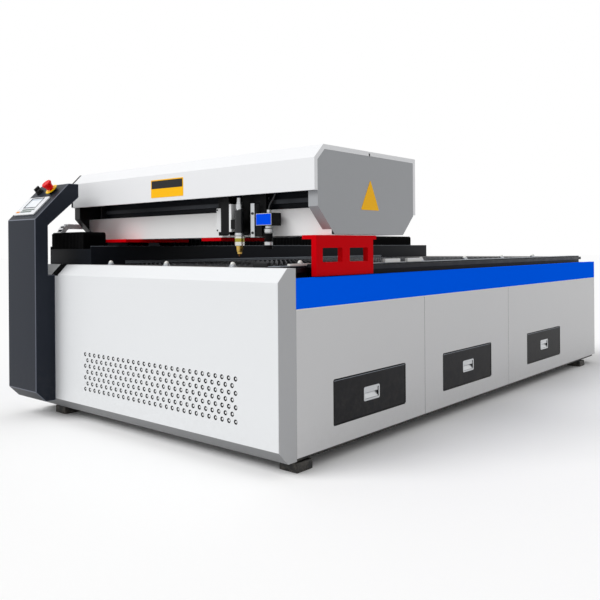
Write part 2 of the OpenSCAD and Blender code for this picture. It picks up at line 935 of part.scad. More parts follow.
// Right rail beam
module right_rail_beam() {
    color("#17181b")
        tube_y([right_beam_in, front_y, frame_top], [right_beam_out, beam_rear, right_beam_top], tube_wall);
}

// Section of a guide rail, waisted at both sides
function guide_section(w, h) = [
    [-w / 2, 0], [w / 2, 0], [w / 2, h * 0.35], [w / 2 - 3, h * 0.5], [w / 2, h * 0.65],
    [w / 2, h], [-w / 2, h], [-w / 2, h * 0.65], [-w / 2 + 3, h * 0.5], [-w / 2, h * 0.35]
];

// Guide rails: two on the left beam and one on the side of the right beam
module guide_rails() {
    y_to = front_y + bellows_rear;
    color("#b9bcc0") {
        for (side = [-1, 1])
            translate([left_mid + side * left_guide_gap / 2, 0, left_beam_top])
                along_y(guide_section(guide_w, guide_h), guide_y, y_to);
        translate([right_beam_out, 0, right_guide_z]) rotate([0, 90, 0])
            along_y(guide_section(guide_w, guide_h), front_y + rail_margin, beam_rear - rail_margin);
    }
}

// Zigzag line from one end to the other, at two heights
function zigzag(from, to, pitch, low, high) =
    let (n = max(2, round((to - from) / pitch)), step = (to - from) / n)
    [for (i = [0 : 2 * n]) [from + i * step / 2, i % 2 == 0 ? low : high]];

// Folded cover over the left guide rails, closed at its front by a wall of the given thickness
module bellows(y_from, y_to, pitch, front_wall) {
    low = left_beam_top + seat;
    high = low + bellows_h;
    half = bellows_w / 2;
    inner = half - pleat_depth - bellows_wall;
    roof = concat(
        [[y_from, low]],
        zigzag(y_from, y_to, pitch, high - pleat_depth, high),
        [[y_to, low]]
    );
    right_side = zigzag(y_from, y_to, pitch, half - pleat_depth, half);
    left_side = zigzag(y_from, y_to, pitch, -half + pleat_depth, -half);
    count = len(left_side);
    plan = concat(
        [for (p = right_side) [p[1], p[0]]],
        [for (i = [count - 1 : -1 : 0]) [left_side[i][1], left_side[i][0]]]
    );
    color("#0c0d0e") difference() {
        intersection() {
            along_x(roof, left_mid - half, left_mid + half);
            translate([left_mid, 0, low - past]) linear_extrude(bellows_h + 2 * past) polygon(plan);
            translate([left_mid, 0, low]) along_y([
                [-half, 0], [half, 0], [half, bellows_h - bellows_bevel],
                [half - bellows_bevel / 3, bellows_h - bellows_bevel / 3],
                [half - bellows_bevel, bellows_h], [-half + bellows_bevel, bellows_h],
                [-half + bellows_bevel / 3, bellows_h - bellows_bevel / 3],
                [-half, bellows_h - bellows_bevel]
            ], y_from, y_to);
        }
        block(
            [left_mid - inner, y_from + front_wall, low - past],
            [left_mid + inner, y_to + past, high - pleat_depth - bellows_wall]
        );
    }
}

// Bellows in front of the gantry
module front_bellows() {
    bellows(front_y + bellows_front, plate_y - seat, front_pleat, bellows_wall);
}

// Bellows behind the gantry
module rear_bellows() {
    bellows(max(plate_back, beam_back) + seat, front_y + bellows_rear, rear_pleat, -past);
}

// Cable chain: its bend, lower run and upper run
chain_x = min(gantry_left, left_beam_out) - chain_gap - link_w;
chain_low = left_beam_top + beam_lip_h + sheet_t + seat;
chain_mid_z = chain_low + chain_r;
chain_bend = front_y + chain_bend_y;
chain_end_y = beam_y + 60;

// Tray that carries the lower run, on arms from the left beam
module chain_tray() {
    arms = 4;
    tray_front = chain_bend;
    tray_rear = chain_bend + chain_run + 2 * link_l;
    arm_pitch = (tray_rear - tray_front - tray_arm_l) / (arms - 1);
    wall_h = link_h / 2;
    low = chain_low - seat - sheet_t;
    in_x = chain_x + link_w;
    out_x = chain_x - 2 * sheet_t;
    color("#55585c") {
        along_y(
            [
                [in_x, low], [in_x, low + sheet_t], [out_x, low + sheet_t],
                [out_x, low + wall_h], [out_x - sheet_t, low + wall_h], [out_x - sheet_t, low]
            ],
            tray_front, tray_rear
        );
        for (i = [0 : arms - 1])
            along_y(
                [
                    [left_beam_out, low - tray_edge_h], [left_beam_out, low + sheet_t],
                    [in_x - past, low + sheet_t], [in_x - past, low],
                    [left_beam_out - sheet_t, low], [left_beam_out - sheet_t, low - tray_edge_h]
                ],
                tray_front + i * arm_pitch, tray_front + i * arm_pitch + tray_arm_l
            );
    }
}

// One link of the cable chain about its own middle, lengthwise along Y
module chain_link() {
    wall = 4;
    gap = 2 * seat;
    difference() {
        translate([0, -link_l / 2 + gap / 2, -link_h / 2]) cube([link_w, link_l - gap, link_h]);
        translate([wall, -link_l / 2 - past, -link_h / 2 + wall])
            cube([link_w - 2 * wall, link_l + 2 * past, link_h - 2 * wall]);
        translate([3 * wall, -link_l / 5, -link_h]) cube([link_w - 6 * wall, 2 * link_l / 5, 2 * link_h]);
    }
}

// Cable chain laid along its tray, round its bend and back to the gantry
module cable_chain() {
    r = chain_r - link_h / 2;
    lower_links = floor(chain_run / link_l);
    upper_links = ceil((chain_end_y - chain_bend) / link_l);
    bend_links = floor(PI * r / link_l);
    color("#a3a7ab") {
        for (i = [0 : lower_links - 1])
            translate([chain_x, chain_bend + (i + 0.5) * link_l, chain_low + link_h / 2]) chain_link();
        for (i = [0 : bend_links - 1])
            translate([chain_x, chain_bend, chain_mid_z])
                rotate([-(i + 0.5) * 180 / bend_links, 0, 0]) translate([0, 0, -r]) chain_link();
        for (i = [0 : upper_links - 1])
            translate([chain_x, chain_bend + (i + 0.5) * link_l, chain_mid_z + r]) chain_link();
    }
}

// Bearing blocks and motor of the drive screw
module screw_drive() {
    block_h = screw_z - left_beam_top + screw_d;
    half = 35;
    thick = 16;
    rear_from = front_y + bellows_rear + seat;
    motor_from = rear_from + 40;
    motor_half = 30;
    color("#3a3d42") difference() {
        union() {
            for (y = [guide_y, rear_from])
                block(
                    [left_mid - half, y, left_beam_top],
                    [left_mid + half, y + thick, left_beam_top + block_h]
                );
            block(
                [left_mid - half, rear_from, left_beam_top],
                [left_mid + half, motor_from, left_beam_top + guide_h / 4]
            );
            block(
                [left_mid - half, motor_from - thick / 2, left_beam_top],
                [left_mid + half, motor_from, left_beam_top + block_h]
            );
            block(
                [left_mid - motor_half, motor_from, screw_z - motor_half],
                [left_mid + motor_half, motor_from + 110, screw_z + motor_half]
            );
        }
        rod_y(screw_d + slack, front_y, motor_from - thick / 2, left_mid, screw_z);
    }
}

// Long screw that moves the gantry
module drive_screw() {
    color("#c4c7ca")
        rod_y(screw_d, guide_y + seat, front_y + bellows_rear + 24, left_mid, screw_z);
}

// Decks in front of and behind the slats, folded down at both edges
module deck(y_from, y_to) {
    low = frame_top;
    along_x(
        [
            [y_from, low], [y_from, deck_top], [y_to, deck_top], [y_to, low],
            [y_to - deck_t, low], [y_to - deck_t, deck_top - deck_t],
            [y_from + deck_t, deck_top - deck_t], [y_from + deck_t, low]
        ],
        left_beam_in + slack, right_beam_in - slack
    );
}

module bed_decks() {
    color("#2c2e32") {
        deck(front_y, bed_y);
        deck(bed_rear, beam_rear);
    }
}

// Place of the first slat
slat_first = bed_y + (bed_l - (slat_count - 1) * slat_pitch) / 2;

// Three bars along the bed with a slot for every slat
module comb_bars() {
    edge_gap = 40;
    bar_top = slat_z + comb_depth;
    comb_xs = [
        left_beam_in + edge_gap, (left_beam_in + right_beam_in) / 2, right_beam_in - edge_gap
    ];
    color("#3b3e42")
        for (x = comb_xs)
            difference() {
                block(
                    [x - comb_t / 2, bed_y + seat, frame_top],
                    [x + comb_t / 2, bed_rear - seat, bar_top]
                );
                for (i = [0 : slat_count - 1]) {
                    mid = slat_first + i * slat_pitch;
                    block(
                        [x - comb_t, mid - slat_t / 2 - seat, slat_z - seat],
                        [x + comb_t, mid + slat_t / 2 + seat, bar_top + past]
                    );
                }
            }
}

// Sawtooth slats that carry the sheet
module support_slats() {
    points = concat(
        [[slat_left, slat_z]],
        zigzag(slat_left, slat_right, tooth_pitch, tip_z - tooth_depth, tip_z),
        [[slat_right, slat_z]]
    );
    color("#4a4d51")
        for (i = [0 : slat_count - 1]) {
            mid = slat_first + i * slat_pitch;
            along_y(points, mid - slat_t / 2, mid + slat_t / 2);
        }
}

// Places of the transfer balls: a front row and a row on the right beam
front_balls = 3;
side_balls = 6;
ball_first_x = right_beam_in - ball_right_gap;
ball_step = (ball_first_x - left_beam_in - ball_left_gap) / (front_balls - 1);
side_ball_x = right_beam_in + cup_d / 2 - cup_overhang;
ball_places = concat(
    [for (i = [0 : front_balls - 1]) [ball_first_x - i * ball_step, front_y + front_ball_y, deck_top]],
    [for (i = [0 : side_balls - 1]) [side_ball_x, front_y + side_ball_y + i * ball_pitch, right_beam_top]]
);

// Flanged cups of the transfer balls
module ball_cups() {
    flange_t = 3;
    rim = 5;
    color("#d5d7d9")
        for (p = ball_places)
            translate(p) rotate_extrude() difference() {
                polygon([
                    [0, 0], [cup_d / 2, 0], [cup_d / 2, flange_t], [ball_d / 2 + rim, flange_t],
                    [ball_d / 2 + rim, cup_h], [0, cup_h]
                ]);
                translate([0, ball_d / 2 + past]) intersection() {
                    circle(d = ball_d + 2 * seat);
                    translate([0, -ball_d]) square(2 * ball_d);
                }
                translate([0, ball_d / 2 + past]) square([ball_d / 2 + seat, cup_h]);
            }
}

// Loose balls in the cups
module transfer_balls() {
    color("#f2f2ef")
        for (p = ball_places)
            translate(p + [0, 0, ball_d / 2 + past]) sphere(d = ball_d);
}

// Stop bars for lining up a sheet
module sheet_stops() {
    color("#eeeeea") {
        front_stop_x = right_beam_in - front_stop_inset;
        block(
            [front_stop_x - front_stop_l, front_y + stop_w, deck_top],
            [front_stop_x, front_y + 2 * stop_w, deck_top + stop_h]
        );
        for (y = [front_y + side_stop_y, front_y + side_stop_y + side_stop_pitch])
            block(
                [right_beam_out - stop_edge - stop_w, y, right_beam_top],
                [right_beam_out - stop_edge, y + side_stop_l, right_beam_top + stop_h]
            );
    }
}

// Hooked control column with its sloping console
module column_shell() {
    head_back = column_face + head_reach;
    neck_back = column_face + neck_d;
    color("#3e434c") along_x(
        [
            [cover_face, column_z], [cover_face, shoulder_z], [neck_back, shoulder_z],
            [neck_back, neck_top_z], [head_back, head_back_z], [head_back, console_top],
            [column_face + console_run, console_top], [column_face, console_z],
            [column_face, column_z + column_toe], [column_face + column_toe, column_z]
        ],
        column_left, column_right
    );
}

// Bezel of the control panel, with a pocket for the screen
screen_shift = 26;
screen_pocket = 4;
hmi_x = column_left + 30 + hmi_w / 2;
module control_panel() {
    color("#d6d9dc") on_console(hmi_x, hmi_up + hmi_h / 2) difference() {
        linear_extrude(hmi_t) rounded_face(hmi_w, hmi_h, 8);
        translate([0, screen_shift, hmi_t - screen_pocket]) linear_extrude(screen_pocket + past)
            square([screen_w + 2 * seat, screen_h + 2 * seat], center = true);
    }
}

// Screen in the control panel
module control_screen() {
    color("#8fa3ad") on_console(hmi_x, hmi_up + hmi_h / 2)
        translate([0, screen_shift, hmi_t - screen_pocket]) linear_extrude(screen_pocket - past)
            square([screen_w, screen_h], center = true);
}

// Collars of the emergency stop and the turn switch
stem_d = 24;
module switch_collars() {
    color("#f2bd1d") on_console(column_left + estop_x, switch_up) difference() {
        rotate_extrude() polygon([
            [0, 0], [bezel_d / 2, 0], [bezel_d / 2 + 2, collar_h / 2], [collar_d / 2 - 3, collar_h - 5],
            [collar_d / 2, collar_h - 3], [collar_d / 2, collar_h], [0, collar_h]
        ]);
        translate([0, 0, past]) cylinder(d = stem_d + 2 * slack, h = collar_h + past);
    }
    color("#1d1e20") on_console(column_left + turn_x, switch_up) difference() {
        cylinder(d = bezel_d, h = collar_h / 2);
        translate([0, 0, past]) cylinder(d = stem_d + 2 * slack, h = collar_h);
    }
}

// Mushroom button of the emergency stop
module estop_button() {
    low = past + estop_travel + slack;
    brim = collar_h + estop_travel + slack;
    top = brim + estop_h;
    r = estop_d / 2;
    neck = estop_neck_d / 2;
    color("#d8232f") on_console(column_left + estop_x, switch_up) rotate_extrude() polygon([
        [0, low], [stem_d / 2, low], [stem_d / 2, brim], [neck, brim], [neck, brim + 3],
        [neck + 2, top - 26], [r - 3, top - 16], [r, top - 12], [r, top - 6], [r - 2, top - 2],
        [r - 6, top], [r - 9, top], [r - 12, top - 3], [0, top - 5]
    ]);
}

// Turn switch with a grip bar
module switch_knob() {
    low = past + seat;
    brim = collar_h / 2 + seat;
    r = bezel_d / 2 - 3;
    skirt = knob_h / 2;
    color("#26282b") on_console(column_left + turn_x, switch_up) {
        rotate_extrude() polygon([
            [0, low], [stem_d / 2, low], [stem_d / 2, brim], [r, brim], [r - 1, brim + skirt - 3],
            [r - 4, brim + skirt], [0, brim + skirt]
        ]);
        translate([-grip_w / 2, -r + 3, brim + skirt - past]) cube([grip_w, 2 * r - 6, knob_h - skirt]);
    }
}

// Drawer: a folded tray behind a flat front with a hole for its pull
module drawer(y) {
    mid = front_y + y;
    back_x = drawer_face - drawer_depth;
    front_in = drawer_face - drawer_front_t;
    t = sheet_t;
    half = tray_w / 2;
    color("#2a2b2f") difference() {
        union() {
            rounded_x(mid, drawer_z, drawer_w, drawer_h, drawer_corner, front_in, drawer_face);
            block([back_x, mid - half, tray_z], [front_in + past, mid + half, tray_top]);
        }
        block([back_x + t, mid - half + t, tray_z + t], [front_in, mid + half - t, tray_top + past]);
        block(
            [front_in - past, mid - pull_w / 2 + pull_rim, pull_z + pull_rim],
            [drawer_face + past, mid + pull_w / 2 - pull_rim, pull_z + pull_h - pull_rim]
        );
    }
}

// Flush pull: a flange with a dished cup behind it
pull_rim = 8;
pull_z = drawer_z + (drawer_h - pull_h) / 2;
module drawer_pull(y) {
    mid = front_y + y;
    inset = pull_rim + seat;
    t = sheet_t;
    color("#b7babd") difference() {
        union() {
            rounded_x(mid, pull_z, pull_w, pull_h, 10, drawer_face, right_x);
            block(
                [drawer_face - pull_depth, mid - pull_w / 2 + inset, pull_z + inset],
                [drawer_face + t / 2, mid + pull_w / 2 - inset, pull_z + pull_h - inset]
            );
        }
        block(
            [drawer_face - pull_depth + t, mid - pull_w / 2 + inset + t, pull_z + inset + t],
            [right_x + past, mid + pull_w / 2 - inset - t, pull_z + pull_h - inset - t]
        );
    }
}

// Welded box beam of the gantry
module gantry_beam() {
    color("#e6e7e8") tube_x([cap_left, beam_y, beam_z], [cap_right, beam_back, beam_top], tube_wall);
}

// Red plates under the beam: the left foot and a pad at mid span
module base_plates() {
    pad_from = gantry_right - pad_inset;
    color("#d8262c") {
        block(
            [left_plate_x, plate_y, plate_z],
            [left_plate_x + left_plate_w, plate_back, beam_z]
        );
        block([pad_from, beam_y, plate_z], [pad_from + pad_w, beam_back - past, beam_z]);
    }
}

// Red right leg with two windows and a top flange
module right_leg() {
    low = leg_z + window_z;
    color("#d8262c") difference() {
        union() {
            block([leg_left, plate_y, leg_z], [leg_right, plate_y + leg_d, beam_z]);
            block([leg_right - leg_flange_w, plate_y, plate_z], [leg_right, plate_back, beam_z]);
        }
        for (y = [plate_y + window_inset, plate_y + leg_d - window_inset - window_w])
            rounded_x(
                y + window_w / 2, low, window_w, window_h, 6,
                leg_left - past, leg_right + past
            );
    }
}

// Folded cover under the rear of the gantry
module bottom_cover() {
    y_from = beam_back;
    y_fold = lid_rear - lid_band - rear_fold;
    y_to = lid_rear - lid_band;
    low = beam_z + cap_lift;
    t = sheet_t;
    color("#dcdee0") along_x(
        [
            [y_from, low], [y_fold, low], [y_to, low + rear_fold], [y_to, beam_top + 20],
            [y_to - t, beam_top + 20], [y_to - t, low + rear_fold + t * bend],
            [y_fold - t * bend, low + t], [y_from, low + t]
        ],
        left_beam_in - 20, cap_right - seat
    );
}

// Outline of an end cap, inside the bands of the lids
function cap_section(d) = [
    [lid_y + lid_band + seat + d, beam_z + cap_nose],
    [lid_y + lid_band + seat + d, gantry_top - lid_chamfer - (lid_band + seat + d) * bend],
    [lid_y + lid_chamfer + (lid_band + seat + d) * bend, gantry_top - lid_band - seat - d],
    [lid_rear - lid_band - seat - d, gantry_top - lid_band - seat - d],
    [lid_rear - lid_band - seat - d, beam_z + cap_lift + rear_fold],
    [lid_rear - lid_band - rear_fold - d * bend, beam_z + cap_lift + d],
    [lid_y + lid_band + cap_slope + d * bend, beam_z + cap_lift + d]
];

// End cap: a plate with a flange around its lower front slope
module end_cap(x_from, x_to, flange_from, flange_to) {
    front = lid_y + lid_band + seat;
    nose = beam_z + cap_nose;
    fall = (cap_nose - cap_lift) / cap_slope;
    end_y = min(front + cap_slope, beam_y - seat);
    end_z = nose - (end_y - front) * fall;
    t = sheet_t;
    along_x(cap_section(0), x_from, x_to);
    along_x(
        [
            [front, nose], [front, beam_z + lid_lift - seat], [front + t, beam_z + lid_lift - seat],
            [front + t, nose + t / 2], [end_y, end_z + t * (1 + fall)], [end_y, end_z]
        ],
        flange_from, flange_to
    );
}

module right_end_cap() {
    color("#8f9193") end_cap(cap_right, gantry_right, gantry_right - cap_flange, gantry_right - past);
}

// Left end cap with the bracket that holds the end of the cable chain
module left_end_cap() {
    bracket_z = chain_mid_z + chain_r + seat;
    color("#8f9193") {
        end_cap(gantry_left, cap_left, gantry_left + past, gantry_left + cap_flange);
        block(
            [chain_x, chain_end_y - 40, bracket_z],
            [gantry_left + past, chain_end_y + 40, bracket_z + cap_t]
        );
    }
}

// Section of the front lid, pulled in by a distance
function front_lid_section(d) = [
    [lid_y + d, beam_z + lid_lift],
    [lid_y + d, gantry_top - lid_chamfer - d * bend],
    [lid_y + lid_chamfer + d * bend, gantry_top - d],
    [hinge_y - lid_gap / 2, gantry_top - d]
];

// Points of a list in the opposite order
function turned(list) = [for (i = [len(list) - 1 : -1 : 0]) list[i]];

// Hinge knuckles on one leaf, every other one along the gantry
module knuckle_row(first, lean) {
    step = gantry_w / knuckles;
    leaf_t = 2;
    leaf_z = gantry_top - sheet_t;
    for (i = [first : 2 : knuckles - 1]) {
        x_from = gantry_left + i * step + slack;
        x_to = x_from + step - 2 * slack;
        rod_x(hinge_d, x_from, x_to, hinge_y, hinge_z);
        block(
            [x_from + sheet_t, min(hinge_y, hinge_y + lean), leaf_z - leaf_t],
            [x_to - sheet_t, max(hinge_y, hinge_y + lean), leaf_z]
        );
    }
}

// Hinged front lid: a folded sheet with end bands, a lower lip and its hinge leaf
module front_lid() {
    lip = 16;
    edge = beam_z + lid_lift;
    leaf = -34;
    skin = concat(front_lid_section(0), turned(front_lid_section(sheet_t)));
    band = concat(front_lid_section(0), turned(front_lid_section(lid_band)));
    color("#f0f1f1") difference() {
        union() {
            along_x(skin, gantry_left, gantry_right);
            along_x(band, gantry_left, gantry_left + sheet_t);
            along_x(band, gantry_right - sheet_t, gantry_right);
            block([gantry_left, lid_y, edge], [gantry_right, lid_y + lip, edge + sheet_t]);
            knuckle_row(1, leaf);
        }
        rod_x(pin_d + 2 * seat, gantry_left - past, gantry_right + past, hinge_y, hinge_z);
    }
}

// Section of the rear lid, pulled in by a distance
function rear_lid_section(d) = [
    [hinge_y + lid_gap / 2, gantry_top - d],
    [lid_rear - d, gantry_top - d],
    [lid_rear - d, beam_z + rear_lid_lift]
];

// Fixed rear lid with its end bands
module rear_lid() {
    skin = concat(rear_lid_section(0), turned(rear_lid_section(sheet_t)));
    band = concat(rear_lid_section(0), turned(rear_lid_section(lid_band)));
    color("#e8e9ea") {
        along_x(skin, gantry_left, gantry_right);
        along_x(band, gantry_left, gantry_left + sheet_t);
        along_x(band, gantry_right - sheet_t, gantry_right);
    }
}

// Fixed leaf of the hinge with its pin
module lid_hinge() {
    leaf = 34;
    color("#9b9ea2") {
        knuckle_row(0, leaf);
        rod_x(pin_d, gantry_left + slack, gantry_right - slack, hinge_y, hinge_z);
    }
}

// Black plate that carries the cross rails
module rail_plate() {
    color("#1a1b1e") block(
        [rail_plate_left, rail_face, beam_top],
        [rail_plate_right, rail_face + rail_plate_t, beam_top + rail_plate_h]
    );
}

// Two guide rails along the gantry
module cross_rails() {
    section = [for (p = guide_section(guide_w, guide_h - 4)) [-p[1], p[0]]];
    color("#b9bcc0")
        for (z = cross_z)
            translate([0, rail_face, z]) along_x(section, rail_plate_left, rail_plate_right - past);
}

// Bearing blocks and motor of the cross screw
module cross_drive() {
    thick = 16;
    half = 22;
    motor_half = 30;
    motor_l = 110;
    bearing_back = rail_face - seat;
    low = cross_screw_z - half;
    high = cross_screw_z + half;
    mount_x = rail_plate_left - thick - seat;
    color("#3a3d42") difference() {
        union() {
            block(
                [mount_x, cross_screw_y - motor_half, beam_top],
                [mount_x + thick, cross_screw_y + motor_half, cross_screw_z + motor_half]
            );
            block(
                [mount_x - motor_l, cross_screw_y - motor_half, cross_screw_z - motor_half],
                [mount_x, cross_screw_y + motor_half, cross_screw_z + motor_half]
            );
            block(
                [rail_plate_right - 3 * thick, cross_screw_y - half / 2, low],
                [rail_plate_right - 2 * thick, rail_face, high]
            );
        }
        rod_x(
            cross_screw_d + slack, mount_x + thick / 2, rail_plate_right,
            cross_screw_y, cross_screw_z
        );
    }
}

// Screw that moves the carriage
module cross_screw() {
    color("#c4c7ca") rod_x(
        cross_screw_d, rail_plate_left - 4, rail_plate_right - 32,
        cross_screw_y, cross_screw_z
    );
}

// Guide blocks under the gantry, with the nut of the drive screw
module guide_blocks() {
    low = left_beam_top + 2;
    ends = [plate_y + 30, plate_y + leg_d - 30 - block_l];
    channel = guide_w + 2 * slack;
    nut_half = 30;
    nut_y = plate_y + 200;
    color("#9fa3a8") {
        for (y = ends) {
            for (side = [-1, 1]) {
                mid = left_mid + side * left_guide_gap / 2;
                difference() {
                    block([mid - block_w / 2, y, low], [mid + block_w / 2, y + block_l, plate_z]);
                    block(
                        [mid - channel / 2, y - past, low - past],
                        [mid + channel / 2, y + block_l + past, left_beam_top + guide_h + slack]
                    );
                }
            }
            difference() {
                block(
                    [right_beam_out + 2, y, right_guide_z - block_w / 2 + 6],
                    [leg_left, y + block_l, right_guide_z + block_w / 2 - 6]
                );
                block(
                    [right_beam_out, y - past, right_guide_z - channel / 2],
                    [right_beam_out + guide_h + slack, y + block_l + past, right_guide_z + channel / 2]
                );
            }
        }
        difference() {
            block([left_mid - nut_half, nut_y, low], [left_mid + nut_half, nut_y + block_l, plate_z]);
            rod_y(screw_d + slack, nut_y - past, nut_y + block_l + past, left_mid, screw_z);
        }
    }
}

// Sealed laser source on two saddles inside the gantry
module laser_source() {
    x_to = gantry_right - source_inset;
    x_from = x_to - source_l;
    y = rail_face + rail_plate_t + 60 + source_d;
    z = beam_top + 30 + source_d / 2;
    end_d = source_d * 0.6;
    saddle_half = source_d / 2 + 12;
    color("#c3c6c9") {
        rod_x(source_d, x_from, x_to, y, z);
        rod_x(end_d, x_from - 40, x_from + past, y, z);
        rod_x(end_d, x_to - past, x_to + 40, y, z);
        for (x = [x_from + 200, x_to - 240])
            block([x, y - saddle_half, beam_top], [x + 40, y + saddle_half, z]);
    }
}

// Plate that carries the head and the camera
module carriage_plate() {
    color("#26282c") block(
        [carriage_x, carriage_face, carriage_z],
        [carriage_x + carriage_w, carriage_back, carriage_z + carriage_h]
    );
}

// Blocks on the cross rails and the nut of the cross screw
module carriage_blocks() {
    channel = guide_w + 2 * slack;
    half = block_w / 2 - 5;
    rail_front = rail_face - (guide_h - 4);
    nut_half = 24;
    mid_x = carriage_x + carriage_w / 2;
    ends = [carriage_x + 20, carriage_x + carriage_w - 20 - block_l];
    color("#9fa3a8") {
        for (z = cross_z, x = ends)
            difference() {
                block([x, carriage_back, z - half], [x + block_l, rail_face - 2, z + half]);
                block(
                    [x - past, rail_front - slack, z - channel / 2],
                    [x + block_l + past, rail_face, z + channel / 2]
                );
            }
        difference() {
            block(
                [mid_x - nut_half, carriage_back, cross_screw_z - nut_half],
                [mid_x + nut_half, rail_face - 2, cross_screw_z + nut_half]
            );
            rod_x(
                cross_screw_d + slack, mid_x - nut_half - past, mid_x + nut_half + past,
                cross_screw_y, cross_screw_z
            );
        }
    }
}

// Upright drive of the head: its case, motor, white mounting plate and gauge bar
module head_drive() {
    motor_half = 24;
    drive_top = drive_z + drive_h;
    mid_y = (drive_face + carriage_face) / 2;
    color("#1b1c1f") {
        block([drive_x, drive_face, drive_z], [drive_right, carriage_face, drive_top]);
        block(
            [drive_x + drive_w / 2 - motor_half, mid_y - motor_half, drive_top - past],
            [drive_x + drive_w / 2 + motor_half, mid_y + motor_half, drive_top + 90]
        );
        block(
            [drive_x - mount_plate_w, carriage_face - mount_plate_t, drive_z + mount_plate_lift],
            [drive_x, carriage_face, drive_z + mount_plate_lift + mount_plate_h]
        );
    }
}

// Camera case on a bar and a bracket from the carriage plate, with the two nuts of its cable
module camera_body() {
    x_from = lens_x - camera_w / 2;
    arm_x = carriage_x + carriage_w - gland_l;
    color("#1557d8") {
        block([x_from, camera_face, camera_z], [x_from + camera_w, carriage_face - 6, camera_z + camera_h]);
        block([bar_x, carriage_face - 40, beam_z - 4], [bar_x + bar_w, carriage_face, beam_z + 178]);
        block([bar_x + bar_w, carriage_face - 34, beam_z], [x_from + past, carriage_face, beam_z + 100]);
        translate([lens_x, cable_y, camera_top - past]) cylinder(d = gland_d, h = gland_l + past);
        block(
            [arm_x, cable_y - gland_d / 2, cable_end_z - gland_d / 2],
            [arm_x + gland_l, carriage_face, cable_end_z + gland_d / 2]
        );
        rod_x(gland_d, arm_x + gland_l - past, cable_end_x, cable_y, cable_end_z);
    }
}

// Point on a curve between four points
function on_curve(p, t) =
    (1 - t) ^ 3 * p[0] + 3 * (1 - t) ^ 2 * t * p[1] + 3 * (1 - t) * t ^ 2 * p[2] + t ^ 3 * p[3];

// Camera cable: one tube from the nut on the camera, up to the right and back to the carriage plate
cable_sides = 10;
cable_steps = 9;
cable_bend = [camera_w / 2 - cable_d, cable_rise / 2 + gland_l];
cable_low = [
    [0, gland_l], [0, 3 * gland_l], [cable_bend[0], cable_bend[1] - 2 * gland_l], cable_bend
];
cable_high = [
    cable_bend, cable_bend + [0, 2 * gland_l], [cable_bend[0] / 2, cable_rise],
    [cable_end_x - lens_x, cable_rise]
];
cable_path = concat(
    [for (i = [0 : cable_steps - 1]) on_curve(cable_low, i / cable_steps)],
    [for (i = [0 : cable_steps]) on_curve(cable_high, i / cable_steps)]
);
module camera_cable() {
    last = len(cable_path) - 1;
    points = [
        for (i = [0 : last])
            let (
                ahead = cable_path[min(i + 1, last)] - cable_path[max(i - 1, 0)],
                across = [ahead[1], -ahead[0]] / norm(ahead)
            )
            for (k = [0 : cable_sides - 1])
                let (turn = 360 * k / cable_sides, out = cable_path[i] + cable_d / 2 * cos(turn) * across)
                [lens_x + out[0], cable_y + cable_d / 2 * sin(turn), camera_top + out[1]]
    ];
    walls = [
        for (i = [0 : last - 1], k = [0 : cable_sides - 1])
            let (a = i * cable_sides + k, b = i * cable_sides + (k + 1) % cable_sides)
            [a, a + cable_sides, b + cable_sides, b]
    ];
    first_end = [for (k = [0 : cable_sides - 1]) k];
    last_end = [for (k = [cable_sides - 1 : -1 : 0]) last * cable_sides + k];
    color("#4a4d52") polyhedron(points, concat(walls, [first_end, last_end]));
}

// Round lens under the camera
module camera_lens() {
    r = lens_d / 2;
    y = camera_face + camera_d / 2 - 4;
    color("#202226") translate([lens_x, y, camera_z - lens_l]) difference() {
        rotate_extrude() polygon([
            [0, 6], [r - 6, 6], [r - 6, 0], [r, 0], [r, 34], [r - 3, 36], [r - 3, 52], [r, 54],
            [r, 84], [r - 5, 86], [r - 5, lens_l], [0, lens_l]
        ]);
        translate([0, 0, -past]) cylinder(r = r - 8, h = 6);
    }
}

// Head: tube, fittings and the clamp to the upright drive
module head_body() {
    r = tube_d / 2;
    clamp_z = tube_z + 40;
    clamp_h = 50;
    slide_x = drive_right + seat;
    color("#33363b") {
        translate([nozzle_x, nozzle_y, 0]) rotate_extrude() polygon([
            [0, tube_z], [r, tube_z], [r, tube_top], [r - 6, tube_top + 4],
            [r - 6, tube_top + fitting_h / 2], [r - 12, tube_top + fitting_h / 2 + 3],
            [r - 12, tube_top + fitting_h], [0, tube_top + fitting_h]
        ]);
        block(
            [slide_x, drive_face - 6, drive_z + 12],
            [slide_x + 18, carriage_face - 4, drive_z + drive_h - 14]
        );
        block(
            [slide_x + 17, nozzle_y - 14, clamp_z],
            [nozzle_x, nozzle_y + 14, clamp_z + clamp_h]
        );
    }
}

// Nozzle: lower body, gas cone and tip with its orifice
module nozzle() {
    r = tube_d / 2;
    color("#c9a24a") translate([nozzle_x, nozzle_y, 0]) difference() {
        rotate_extrude() polygon([
            [0, tip_height], [4, tip_height], [7, tip_height + 14], [13, tip_height + 16],
            [13, tip_height + 24], [r - 9, tip_height + 26], [r - 4, lower_z], [r + 2, lower_z + 2],
            [r + 2, tube_z - 2], [r, tube_z], [0, tube_z]
        ]);
        translate([0, 0, tip_height - past]) cylinder(d = 3, h = nozzle_h / 2);
    }
}

module drawer_1() { drawer(drawer_1_y); }
module drawer_2() { drawer(drawer_2_y); }
module drawer_3() { drawer(drawer_3_y); }
module drawer_1_pull() { drawer_pull(drawer_1_y); }
module drawer_2_pull() { drawer_pull(drawer_2_y); }
module drawer_3_pull() { drawer_pull(drawer_3_y); }

